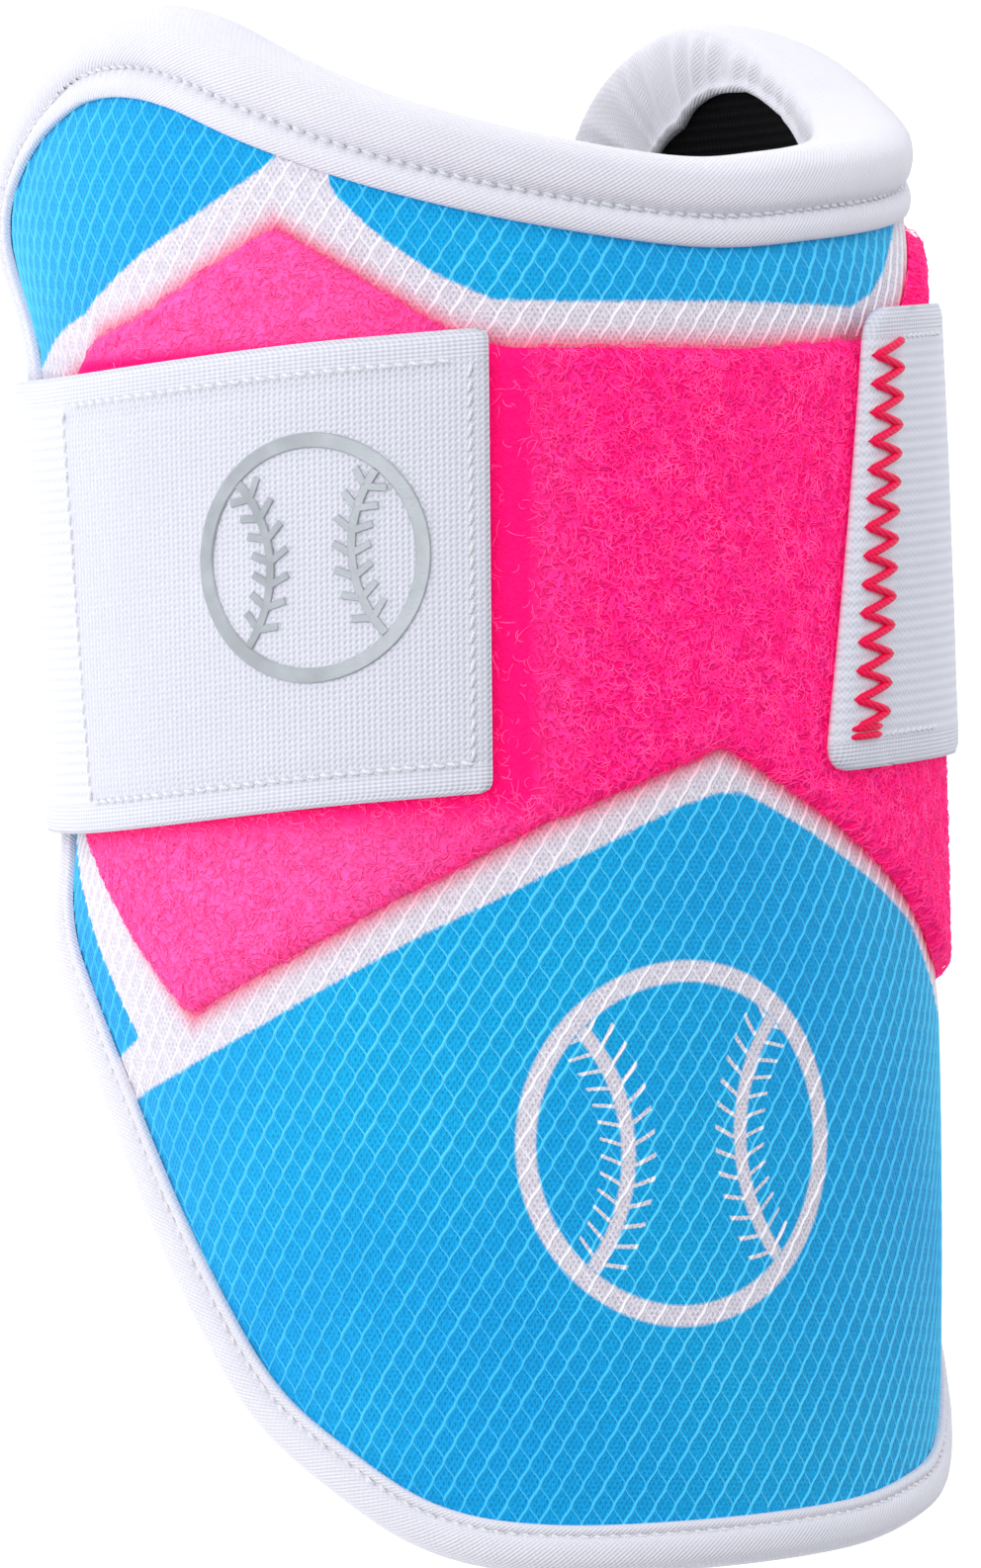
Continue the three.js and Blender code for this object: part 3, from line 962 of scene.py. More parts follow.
def hook_finish(sizes, colours):
    """Hook tape: rows of small moulded hooks."""
    shader = Shader("hook_tape", roughness=0.45)
    x, y = shader.laid_flat(sizes.radius)
    hooks = shader.cells(x, y, 1.4).ramp(0.1, 0.4)
    shader.paint(shader.mix(hooks, colours.hook, shaded(colours.hook, 0.75)))
    shader.raise_relief(1 - hooks, 0.25)
    return shader.material


# Pieces

def start_of(context):
    """The guard's sizes and colours, and the shell that its sizes give."""
    scene = context.scene
    return scene.guard_sizes, scene.guard_colours, Shell(scene.guard_sizes)


class GUARD_OT_press_cover(bpy.types.Operator):
    """Foam presses the cover out between its seams, worked out by a short cloth simulation"""

    bl_idname = "guard.press_cover"
    bl_label = "Press cover"

    cloth = {
        "quality": 6,
        "mass": 0.02,
        "tension_stiffness": 5,
        "compression_stiffness": 5,
        "shear_stiffness": 2.5,
        "bending_stiffness": 0.5,
        "air_damping": 2,
        "use_pressure": True,
        "uniform_pressure_force": 400,
        "vertex_group_mass": "sewn",
    }

    def execute(self, context):
        pressed_out.clear()
        shell = Shell(context.scene.guard_sizes)
        flats = [skin_place(shell, c, r) for r in range(SKIN_ROWS + 1) for c in range(SKIN_COLUMNS + 1)]
        starts = [shell.laid(*flat, 0) for flat in flats]
        mesh = bpy.data.meshes.new("cover_skin")
        mesh.from_pydata(starts, [], grid_faces(SKIN_COLUMNS, SKIN_ROWS))
        skin = bpy.data.objects.new("cover_skin", mesh)
        context.scene.collection.objects.link(skin)
        sewn = skin.vertex_groups.new(name="sewn")
        sewn.add([k for k, flat in enumerate(flats) if is_sewn_down(shell, *flat)], 1, "REPLACE")
        press = skin.modifiers.new("press", "CLOTH")
        for name, value in self.cloth.items():
            setattr(press.settings, name, value)
        press.settings.effector_weights.gravity = 0
        press.collision_settings.use_collision = False
        for number in range(1, SKIN_FRAMES + 1):
            context.scene.frame_set(number)
        swollen = skin.evaluated_get(context.evaluated_depsgraph_get()).data
        for start, vertex in zip(starts, swollen.vertices):
            outward = Vector((start.x, 0, start.z)) - Vector((AXIS.x, 0, AXIS.z)) * MM
            swell = (vertex.co - start).dot(outward.normalized()) / MM
            pressed_out.append(MOST_SWELL * (1 - math.exp(-max(0, swell) / MOST_SWELL)))
        bpy.data.objects.remove(skin)
        bpy.data.meshes.remove(mesh)
        context.scene.frame_set(1)
        return {"FINISHED"}


def cover_sheet(shell, edges, rows, front_lift, back_lift):
    """Points and faces of a closed sheet that spans the pad, from the lifts of its two faces at x, y."""
    lower, upper = edges
    columns = len(lower) - 1

    def face_at(lift_at):
        def at(across, along):
            column = round(across * columns)
            flat = lower[column].lerp(upper[column], along)
            return shell.laid(*flat, lift_at(*flat))
        return at

    return double_grid(columns, rows, face_at(front_lift), face_at(back_lift))


class GUARD_OT_pad_cover(bpy.types.Operator):
    """Foam pad in its printed knit cover"""

    bl_idname = "guard.pad_cover"
    bl_label = "Pad cover"

    columns = 180
    rows = 90

    def execute(self, context):
        sizes, colours, shell = start_of(context)
        edges = [spaced(line, self.columns) for line in cover_curves(shell)]
        points, faces = cover_sheet(shell, edges, self.rows, shell.fullness, lambda _x, _y: -sizes.foam)
        pad = add_piece("pad_cover", points, faces, knit_finish(sizes, colours))
        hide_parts("pad")
        return {"FINISHED"}


class GUARD_OT_cover_ribs(bpy.types.Operator):
    """Lattice of raised ribs knitted into the cover"""

    bl_idname = "guard.cover_ribs"
    bl_label = "Cover ribs"

    # Each way's bend within a cell, width as a share of the strong ribs' and height
    ways = ((STRONG_RIB, 0.11, 1, 0.22), (WEAK_RIB, 0.2, 0.45, 0.08))
    steps = 5
    hidden_by_trims = 3.2
    hidden_by_panel = 1.5
    # How unevenly wide the ribs are, and over what distance that changes
    unevenness = 0.5
    uneven_size = 3
    # How deep their feet stand in the cover, and where their tops begin, as shares
    foot = -0.05
    shoulder = 0.45
    top = 0.85

    def execute(self, context):
        sizes, colours, shell = start_of(context)
        ribs = Batch()
        count = int(shell.length)
        for s in range(-count, count):
            for t in range(-count, count):
                node = STRONG_RIB * s + WEAK_RIB * t
                if not self.shows(shell, node):
                    continue
                for way, kink, share, height in self.ways:
                    self.add_rib(ribs, shell, node, way, kink, share * sizes.rib, height)
        add_piece("cover_ribs", ribs.points, ribs.faces, rib_finish(sizes, colours))
        return {"FINISHED"}

    def shows(self, shell, node):
        """True where the trims and the loop panel leave the cover bare."""
        if abs(node.x) > shell.arc_of(shell.sizes.half_wrap) or not 0 < node.y < shell.length:
            return False
        if pad_depth(shell, *node) < self.hidden_by_trims:
            return False
        turn = shell.turn_of(node.x)
        if abs(turn) > shell.sizes.panel_turn:
            return True
        low, high = shell.panel_edges(turn)
        return not low + self.hidden_by_panel < node.y < high - self.hidden_by_panel

    def add_rib(self, ribs, shell, node, way, kink, width, height):
        """One rib from a node of the lattice to the next, open underneath."""
        line = []
        for step in range(self.steps + 1):
            share = step / self.steps
            bend = -kink * math.sin(2 * math.pi * share) * math.copysign(1, way.x)
            line.append(node + way * share + Vector((bend, 0)))
        points = []
        width *= 1 + self.unevenness * noise.noise(Vector((node.x, node.y, 4)) / self.uneven_size)
        shoulder, top = self.shoulder, self.top * height
        section = ((-1, self.foot), (-shoulder, top), (shoulder, top), (1, self.foot))
        for index, place in enumerate(line):
            side = sideways(way_at(line, index)) * width / 2
            base = shell.fullness(*place)
            points += [shell.laid(*(place + side * share), base + lift) for share, lift in section]
        ribs.add(points, grid_faces(len(section) - 1, self.steps))


class GUARD_OT_lining(bpy.types.Operator):
    """Black ribbed knit inside the pad"""

    bl_idname = "guard.lining"
    bl_label = "Lining"

    columns = 120
    rows = 60
    # How much narrower the knit is cut than the pad, because it lies stretched
    cut = 0.96

    def execute(self, context):
        sizes, colours, shell = start_of(context)
        lower, upper = edges = [spaced(line, self.columns) for line in cover_curves(shell)]
        outside = -sizes.foam - sizes.gap
        points, faces = cover_sheet(
            shell, edges, self.rows, lambda _x, _y: outside, lambda _x, _y: outside - sizes.lining,
        )
        lining = add_piece("rib_lining", points, faces, lining_finish(sizes, colours))
        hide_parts("lining")
        inner = self.cut * (shell.base + outside) / shell.base
        width = 2 * shell.arc_of(sizes.half_wrap)
        area = sum(
            abs((upper[k + 1] - lower[k]).cross(upper[k] - lower[k + 1])) / 2
            for k in range(self.columns)
        )
        width * inner * MM
        area * inner * MM ** 2
        return {"FINISHED"}


class GUARD_OT_loop_panel(bpy.types.Operator):
    """Pink loop pile panel with peaked edges"""

    bl_idname = "guard.loop_panel"
    bl_label = "Loop panel"

    columns = 220
    rows = 60
    round_off = 2.4
    # How far its underside follows the cover's swell
    follow = 0.3

    def execute(self, context):
        sizes, colours, shell = start_of(context)

        def flat_at(across, along):
            turn = lerp(-sizes.panel_turn, sizes.panel_turn, across)
            low, high = shell.panel_edges(turn)
            return turn, lerp(low, high, along)

        def front(across, along):
            turn, rise = flat_at(across, along)
            return shell.place(turn, rise, pile_lift(shell, turn, rise))

        def back(across, along):
            turn, rise = flat_at(across, along)
            swell = shell.fullness(shell.arc_of(turn), rise)
            return shell.place(turn, rise, sizes.gap + swell * self.follow)

        points, faces = double_grid(self.columns, self.rows, front, back)
        panel = add_piece("pile_panel", points, faces, pile_finish(sizes, colours))
        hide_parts("loop_panel")
        turns = [flat_at(k / self.columns, 0)[0] for k in range(self.columns)]
        heights = [high - low for low, high in map(shell.panel_edges, turns)]
        width = shell.arc_of(2 * sizes.panel_turn)
        width * MM
        max(heights) * MM
        sum(heights) / self.columns * width * MM ** 2
        return {"FINISHED"}


def pile_lift(shell, turn, rise):
    """Lift of the pile's ground, rounded off at its edges and slightly uneven."""
    sizes = shell.sizes
    low, high = shell.panel_edges(turn)
    from_edge = min(rise - low, high - rise, shell.arc_of(sizes.panel_turn - abs(turn)))
    share = clamp(from_edge / GUARD_OT_loop_panel.round_off)
    crown = math.sqrt(1 - (1 - share) ** 2)
    uneven = noise.noise(Vector((turn * 0.9, rise * 0.8, 3))) * 0.14
    return sizes.gap + 0.15 + (sizes.pile - 0.25 + uneven) * crown


class GUARD_OT_pile_fibres(bpy.types.Operator):
    """Curly fibres that stand out of the pile"""

    bl_idname = "guard.pile_fibres"
    bl_label = "Pile fibres"

    seed = 11
    count = 5400
    steps = 5
    sides = 3
    # How many degrees short of the panel's ends the fibres stay
    inset = 1
    # How far the strap presses the pile beyond its front end, and the share of fibres lost there
    pressed_reach = 5.5
    pressed_share = 0.85
    # How far fibres may grow in under the strap
    under_edge = 0.4
    # How far and how much neighbours head the same way, and each fibre's own heading, bend, length
    # and height
    swirl_size = 5
    swirl = 6
    wander = 0.9
    bend = 0.75
    lengths = (1.1, 3.0)
    heights = (0.05, 0.34)
    # How deep its ends lie in the pile, and how far it may hang over the panel's edge
    sunk = 0.06
    overhang = 0.5

    def execute(self, context):
        sizes, colours, shell = start_of(context)
        finish = fibre_finish(colours)
        draw = random.Random(self.seed)
        reach = sizes.panel_turn - self.inset
        for name, first, last in (("pile_fibres_left", -reach, 0), ("pile_fibres_right", 0, reach)):
            fibres = Batch()
            made = 0
            while made < self.count:
                turn = draw.uniform(first, last)
                low, high = shell.panel_edges(turn)
                rise = draw.uniform(low - 0.2, high + 0.2)
                hidden = self.under_strap(shell, turn, rise)
                if hidden or (self.pressed(shell, turn, rise) and draw.random() < self.pressed_share):
                    continue
                self.add_fibre(fibres, shell, draw, turn, rise, sizes.fibre / 2)
                made += 1
            add_piece(name, fibres.points, fibres.faces, finish)
        return {"FINISHED"}

    def under_strap(self, shell, turn, rise):
        """True where the strap hides the pile."""
        skewed = shell.skew * shell.base * math.sin(math.radians(turn)) + shell.climb(turn)
        across = rise - shell.strap_middle - skewed
        if abs(across) > shell.half_strap - self.under_edge:
            return False
        left, right = ends_at(shell.sizes, across)
        return turn < left - self.under_edge or turn > right + self.under_edge

    def pressed(self, shell, turn, rise):
        """True where the strap's front end has pressed the pile smooth."""
        past = shell.arc_of(turn - FRONT_END[1])
        return past < self.pressed_reach and abs(rise - shell.strap_middle) < shell.half_strap

    def add_fibre(self, fibres, shell, draw, turn, rise, radius):
        """One fibre that leaves the pile, curls over it and ends in it, kept inside the panel."""
        reach = shell.sizes.panel_turn - self.inset / 2
        place = Vector((shell.arc_of(turn), rise))
        swirl = noise.noise(Vector((place.x, place.y, 0)) / self.swirl_size) * self.swirl
        heading = swirl + draw.gauss(0, self.wander)
        curl = draw.uniform(-self.bend, self.bend)
        length = draw.uniform(*self.lengths)
        top = draw.uniform(*self.heights)
        line = []
        for step in range(self.steps + 1):
            share = step / self.steps
            arch = 4 * share * (1 - share)
            kept_turn = clamp(shell.turn_of(place.x), -reach, reach)
            low, high = shell.panel_edges(kept_turn)
            kept = clamp(place.y, low - self.overhang, high + self.overhang)
            lift = pile_lift(shell, kept_turn, kept) - self.sunk + top * arch
            line.append(shell.place(kept_turn, kept, lift))
            heading += curl
            place = place + Vector((math.cos(heading), math.sin(heading))) * length / self.steps
        fibres.add(*thread_tube(line, radius * MM, self.sides))


# Trims. A trim's section gives its reach beyond the pad's edge and its lift.

TRIMS = {
    "cuff": {
        "cover": 10.4, "bead": 4.2, "bead_height": 1.7, "roll_height": 3.0, "reach": 2.4,
        "flap": 7.5, "flap_thickness": 1.3,
    },
    "binding": {
        "cover": 5.0, "bead": 1.5, "bead_height": 0.9, "roll_height": 1.7, "reach": 2.0,
        "flap": 5.0, "flap_thickness": 1.2,
    },
}

# Height of the stitched groove as a share of the bead's, and how far its stitches lie beyond it
GROOVE = 0.56
BEYOND_GROOVE = 0.15

# Pitch of the stitches
CUFF_PITCH = 2.05
BINDING_PITCH = 2.2
STRAP_PITCH = 2.0

# Points at the end of a section that lie in the slot and don't pucker
SLOT_POINTS = 4

# Steps of one side of the pad when a trim's path is laid along it
PATH_STEPS = 400
PATH_SIDE_STEPS = 40

# How far the cuff turns in over the lining, at turns round the arm
CUFF_FLAP = ((-127, 7.5), (50, 7.5), (74, 4), (86, 4.6), (97, 8), (107, 12), (127, 13.5))

# Where the cuff starts and ends on the upper edge, from right to left, and over how much of the cuff
# it narrows to the binding at its right and its left end
CUFF_ENDS = (("upper", 0.0238), ("upper", 0.9286))
CUFF_FADES = (0.1, 0.16)


def cuff_fullness(share):
    """0 where the cuff is as narrow as the binding, and 1 where it is full."""
    right, left = CUFF_FADES
    return smoothstep(min(share / right, (1 - share) / left), 0, 1)


def trim_section(sizes, trim):
    """Smooth outside from the bead over the roll to the flap, then the slot that holds the pad."""
    slot_gap = sizes.slot_gap
    depth = sizes.foam + sizes.gap + sizes.lining + slot_gap
    cover, bead, reach = trim["cover"], trim["bead"], trim["reach"]
    bead_height, roll_height = trim["bead_height"], trim["roll_height"]
    groove = bead - cover
    inside = -depth - trim["flap_thickness"]
    flap = trim["flap"]
    outer = [
        (-cover, 0.12),
        (-cover + 0.04 * bead, slot_gap + 0.52 * bead_height),
        (-cover + 0.44 * bead, slot_gap + 0.94 * bead_height),
        (groove - 0.2 * bead, slot_gap + 0.82 * bead_height),
        (groove, slot_gap + GROOVE * bead_height),
        (lerp(groove, reach, 0.07), slot_gap + 0.58 * roll_height),
        (lerp(groove, reach, 0.19), slot_gap + 0.85 * roll_height),
        (lerp(groove, reach, 0.42), slot_gap + roll_height),
        (lerp(groove, reach, 0.72), slot_gap + 0.82 * roll_height),
        (lerp(groove, reach, 0.94), 0),
        (reach, -0.5 * depth),
        (lerp(groove, reach, 0.95), -depth),
        (lerp(groove, reach, 0.78), inside),
        (0.1 - 0.45 * flap, inside + 0.2),
        (1.8 - flap, inside + 0.2),
        (0.7 - flap, inside - 0.35),
        (-0.1 - flap, inside + 0.3),
        (-flap, -depth + 0.3),
    ]
    smooth = curve_through([Vector(point) for point in outer], 4)
    slot = [Vector((sizes.gap, -depth)), Vector((sizes.gap, slot_gap))]
    return smooth + slot + [Vector((-0.5 * cover, slot_gap))]


def mixed_trim(first, second, share):
    return {name: lerp(first[name], second[name], share) for name in first}


def edge_path(shell, first, last, step):
    """Stations (place, way out, share) along the pad's edge and its length.

    They go anticlockwise between two places given as (side, share).
    """
    lower, upper = cover_curves(shell)
    sides = {
        "left": straight(upper[0], lower[0], PATH_SIDE_STEPS),
        "lower": lower,
        "right": straight(lower[-1], upper[-1], PATH_SIDE_STEPS),
        "upper": upper[::-1],
    }
    order = ["upper", "left", "lower", "right", "upper"]
    if first[0] == last[0] == "upper" and first[1] < last[1]:
        order = ["upper"]
    line = []
    for index, name in enumerate(order):
        run = spaced(sides[name], PATH_STEPS)
        start = 1 if index else round(first[1] * PATH_STEPS)
        end = round(last[1] * PATH_STEPS) if index == len(order) - 1 else PATH_STEPS
        line += run[start:end + 1]
    count = round(line_length(line) / step)
    places = spaced(line, count)
    stations = []
    for index, place in enumerate(places):
        stations.append((place, sideways(way_at(places, index, 2)), index / count))
    return stations, line_length(line)


def trim_piece(shell, name, stations, length, section_at, pucker_at, finish):
    """A trim whose section goes along its stations.

    pucker_at(station) gives a function that says how far a point of the section moves, in
    millimetres, from its number and its place.
    """
    rings = []
    laid = []
    for station in stations:
        place, away, share = station
        section = section_at(station)
        pucker = pucker_at(station)
        ring = []
        run = 0
        for index, point in enumerate(section):
            out, lift = point + pucker(index, point)
            ring.append(shell.laid(*(place + away * out), lift))
            if index:
                run += (point - section[index - 1]).length
            laid.append((share * length, run))
        rings.append(ring)
    points, faces = swept(rings)
    return add_piece(name, points, faces, finish, laid)


class GUARD_OT_cuff(bpy.types.Operator):
    """Padded white roll with a stitched groove, turned in over the lining"""

    bl_idname = "guard.cuff"
    bl_label = "Cuff"

    step = 0.5
    # The flap's gathers over the lining: their pitch, and their depth on the left and on the right
    pleat_pitch = 5.4
    gathers = (0.3, 1.0)
    gather_turns = (60, 104)
    # How uneven the roll is, and from where on the section, out of the seam's hold
    roll_depth = 0.22
    roll_fade = (-9.5, -4)
    # Where its stitches nip the section, how far to either side and how deep
    nip_at = -6.2
    nip_width = 0.9
    nip_depth = 0.36

    def execute(self, context):
        sizes, colours, shell = start_of(context)
        stations, length = edge_path(shell, *CUFF_ENDS, self.step)

        def section_at(station):
            place, _away, share = station
            trim = mixed_trim(TRIMS["binding"], TRIMS["cuff"], cuff_fullness(share))
            wide = rise_at(CUFF_FLAP, shell.turn_of(place.x))
            near_end = smoothstep(min(share, 1 - share), 0, 0.03)
            trim["flap"] = lerp(TRIMS["binding"]["flap"], wide, near_end)
            return trim_section(sizes, trim)

        last_free = len(section_at(stations[0])) - SLOT_POINTS - 1

        def pucker_at(station):
            place, _away, share = station
            run = share * length
            full = cuff_fullness(share)
            turn = shell.turn_of(place.x)
            flap = rise_at(CUFF_FLAP, turn)
            gathers = lerp(*self.gathers, smoothstep(turn, *self.gather_turns))
            drift = 4 * noise.noise(Vector((run / 9, 0, 2)))
            pleat = math.sin(2 * math.pi * run / self.pleat_pitch + drift)
            ease = noise.noise(Vector((run / 13, 0, 7)))

            def pucker(index, point):
                if point.y < -sizes.foam - sizes.lining - 0.6 and point.x < 1:
                    across = clamp((point.x + flap) / (flap + 1))
                    fold = gathers * math.sin(math.pi * across) * (0.5 + 0.5 * pleat) ** 1.5
                    return Vector((0.5 * ease, -fold - 0.3 * abs(ease)))
                if index > last_free:
                    return Vector((0, 0))
                roll = noise.noise(Vector((run / 9, index / 14, 0))) * self.roll_depth
                in_groove = math.exp(-((point.x - self.nip_at) / self.nip_width) ** 2)
                at_stitch = (0.5 + 0.5 * math.cos(2 * math.pi * run / CUFF_PITCH)) ** 3
                nip = self.nip_depth * in_groove * at_stitch
                return Vector((0, roll * smoothstep(point.x, *self.roll_fade) - nip)) * full

            return pucker

        finish = twill_finish("cuff_twill", colours.twill)
        cuff = trim_piece(shell, "cuff_roll", stations, length, section_at, pucker_at, finish)
        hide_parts("top_cuff")
        return {"FINISHED"}


class GUARD_OT_binding(bpy.types.Operator):
    """Narrow white binding along the sides and the lower edge"""

    bl_idname = "guard.binding"
    bl_label = "Edge binding"

    step = 1.3

    def execute(self, context):
        sizes, colours, shell = start_of(context)
        stations, length = edge_path(shell, *CUFF_ENDS[::-1], self.step)
        section = trim_section(sizes, TRIMS["binding"])

        def pucker_at(station):
            run = station[2] * length

            def pucker(index, point):
                wave = noise.noise(Vector((run / 6, index / 16, 5))) * 0.1
                return Vector((0, wave if index < len(section) - SLOT_POINTS - 1 else 0))

            return pucker

        finish = twill_finish("binding_tape", colours.twill)
        binding = trim_piece(
            shell, "edge_tape", stations, length, lambda _station: section, pucker_at, finish,
        )
        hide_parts("edge_binding")
        return {"FINISHED"}


class GUARD_OT_hook_patch(bpy.types.Operator):
    """Hook tape under the strap's front end"""

    bl_idname = "guard.hook_patch"
    bl_label = "Hook patch"

    def execute(self, context):
        sizes, colours = context.scene.guard_sizes, context.scene.guard_colours
        for piece in bpy.data.objects:
            if piece.type == "MESH" and piece.name.split(".")[0] == "hook_patch":
                for slot in piece.material_slots:
                    slot.material = hook_finish(sizes, colours)
        return {"FINISHED"}


# Strap

# Turns of the strap's two ends, at its low and at its high edge, and the radii of their corners
FRONT_END = (-36.5, -34)
SEWN_END = (8, 19.5)
FRONT_CORNER = 1.6
SEWN_CORNER = 4.2

# Length of the doubled hem at the sewn end and how far it stands up
SEWN_HEM = 11
HEM_RISE = 0.55

# Radius of the strap's bends where it leaves the pad for the flat stretch across the open back
STRAP_CORNER = 4

# Turn from which the strap comes down off the hook patch
HOOK_END = 90

# Seams of the strap: from its high and its low edge, from its front end, where the rectangle's back
# line lies, and how deep the channel is that they press
TOP_SEAM = 5.6
FOOT_SEAM = 4.2
FRONT_SEAM = 2.6
BACK_SEAM_TURN = -92
CHANNEL_DEPTH = 0.26
CHANNEL_WIDTH = 0.9
SEAM_ENDS = (70, 90)


def strap_ends(share):
    """Turns of the strap's front end and sewn end, at a share of its width from the low edge."""
    return lerp(*FRONT_END, share), lerp(*SEWN_END, share)


def ends_at(sizes, across):
    """The same at a distance from its middle line."""
    return strap_ends(across / sizes.strap_width + 0.5)


def corner_inset(corner, edge):
    """How far a rounded corner draws the strap's end back, so far from the selvedge."""
    away = max(0, corner - edge)
    return corner - math.sqrt(corner * corner - away * away)


def strap_lift_at(sizes, turn):
    away = smoothstep(turn, HOOK_END, sizes.half_wrap)
    return lerp(sizes.strap_end_lift, sizes.strap_lift, away)


def strap_stations(shell, share):
    """The strap's underside at one share of its width: (centre x, centre z, radius, turn)."""
    arc_steps, corner_steps, flat_steps = 70, 8, 40
    sizes = shell.sizes
    along = shell.strap_middle + (share - 0.5) * sizes.strap_width
    front, sewn = strap_ends(share)
    edge = min(share, 1 - share) * sizes.strap_width
    front -= math.degrees(corner_inset(FRONT_CORNER, edge) / shell.base)
    sewn += math.degrees(corner_inset(SEWN_CORNER, edge) / shell.base)
    inner = shell.radius(sizes.half_wrap, along) + sizes.strap_lift
    corner_z = sizes.strap_thickness + STRAP_CORNER
    corner_x = math.sqrt((inner - STRAP_CORNER) ** 2 - (AXIS.z - corner_z) ** 2)
    leave = math.degrees(math.atan2(corner_x, corner_z - AXIS.z))
    path = []
    for step in range(arc_steps):
        turn = lerp(front, -leave, step / arc_steps)
        path.append((0, AXIS.z, shell.radius(turn, along) + strap_lift_at(sizes, abs(turn)), turn))
    for step in range(corner_steps):
        path.append((-corner_x, corner_z, STRAP_CORNER, -lerp(leave, 180, step / corner_steps)))
    for step in range(flat_steps):
        path.append((lerp(-corner_x, corner_x, step / flat_steps), corner_z, STRAP_CORNER, 180))
    for step in range(corner_steps):
        path.append((corner_x, corner_z, STRAP_CORNER, lerp(180, leave, step / corner_steps)))
    for step in range(arc_steps + 1):
        turn = lerp(leave, sewn, step / arc_steps)
        path.append((0, AXIS.z, shell.radius(turn, along) + sizes.strap_lift, turn))
    return along, path


def strap_point(shell, along, station, depth):
    centre_x, centre_z, radius, turn = station
    angle = math.radians(turn)
    x = centre_x + (radius + depth) * math.sin(angle)
    z = centre_z + (radius + depth) * math.cos(angle)
    y = AXIS.y + along + shell.skew * x + shell.climb(turn)
    return Vector((AXIS.x + x, y, z)) * MM


def on_strap(shell, turn, across, depth):
    """A place over the strap's outer face: its turn, mm up from its middle line, and depth over it."""
    along = shell.strap_middle + across
    sizes = shell.sizes
    lift = strap_lift_at(sizes, abs(turn)) if turn < 0 else sizes.strap_lift
    station = (0, AXIS.z, shell.radius(turn, along) + lift, turn)
    return strap_point(shell, along, station, sizes.strap_thickness + depth)


def pressed(away):
    """How much a seam presses the strap in, so far away from it."""
    return math.exp(-(away / CHANNEL_WIDTH) ** 2)


class GUARD_OT_strap(bpy.types.Operator):
    """Wide elastic strap from its sewn right end round the back to the front left"""

    bl_idname = "guard.strap"
    bl_label = "Strap"

    rows = 42
    # How much thinner it is at its selvedges and at its sewn end, and over what distance
    selvedge_thin = 0.42
    selvedge_fade = 1.6
    sewn_thin = 0.75
    sewn_fade = 2.2
    waviness = 0.12

    def execute(self, context):
        sizes, colours, shell = start_of(context)
        width = sizes.strap_width
        shares = [self.share_of(row) for row in range(self.rows + 1)]
        lanes = [strap_stations(shell, share) for share in shares]
        columns = len(lanes[0][1]) - 1
        lengths = []
        for along, path in lanes:
            line = [strap_point(shell, along, station, 0) for station in path]
            lengths.append([0])
            for a, b in zip(line, line[1:]):
                lengths[-1].append(lengths[-1][-1] + (b - a).length / MM)

        def depths(across, share):
            """Outer and inner depth, thinner at the selvedges, pressed in along the stitch lines."""
            row = round(share * self.rows)
            share = shares[row]
            run = lengths[row][round(across * columns)]
            rest = lengths[row][-1] - run
            edge = min(share, 1 - share) * width
            thin = max(
                self.selvedge_thin * (1 - smoothstep(min(edge, run), 0, self.selvedge_fade)),
                self.sewn_thin * (1 - smoothstep(rest, 0, self.sewn_fade) ** 0.5),
            )
            along_seams = 1 - smoothstep(run, *SEAM_ENDS)
            channel = CHANNEL_DEPTH * max(
                pressed(share * width - FOOT_SEAM) * along_seams,
                pressed(share * width - width + TOP_SEAM) * along_seams,
                pressed(run - FRONT_SEAM),
            )
            hem = HEM_RISE * (1 - smoothstep(rest, SEWN_HEM - 1.6, SEWN_HEM))
            wave = self.waviness * noise.noise(Vector((run / 14, share * 4, 1)))
            return sizes.strap_thickness - thin - channel + hem + wave * (1 - thin), thin * 0.7

        def face_at(which):
            def at(across, share):
                row = round(share * self.rows)
                along, path = lanes[row]
                station = path[round(across * columns)]
                depth = depths(across, share)[which]
                return strap_point(shell, along, station, depth)
            return at

        points, faces = double_grid(columns, self.rows, face_at(0), face_at(1))
        laid = [
            (lengths[row][column], shares[row] * width)
            for row in range(self.rows + 1) for column in range(columns + 1)
        ]
        strap = add_piece(
            "strap_webbing", points, faces, webbing_finish(sizes, colours), laid * 2,
        )
        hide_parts("strap")
        return {"FINISHED"}

    def share_of(self, row):
        """Rows lie closer together towards the selvedges, for the rounded corners."""
        even = row / self.rows
        return lerp(even, 0.5 - 0.5 * math.cos(math.pi * even), 0.75)


# Stitches

# A sunk stitch as shares of its length and heights in millimetres
STITCH_ARCH = ((0, -0.2), (0.14, 0.1), (0.5, 0.22), (0.86, 0.1), (1, -0.2))
STITCH_SLANT = 0.12
STRAP_SINK = 0.1


def stitch_row(batch, place_at, length, sizes, pitch):
    """Short sunk stitches along a seam.

    place_at gives the point at a distance along the seam, a step sideways and a height.
    """
    gap = pitch - sizes.stitch
    for index in range(int(length / pitch)):
        start = index * pitch + gap / 2
        line = []
        for step, height in STITCH_ARCH:
            side = STITCH_SLANT * (2 * step - 1) * sizes.stitch
            line.append(place_at(start + step * sizes.stitch, side, height))
        batch.add(*thread_tube(line, sizes.thread / 2 * MM, 6, ends=0.6))


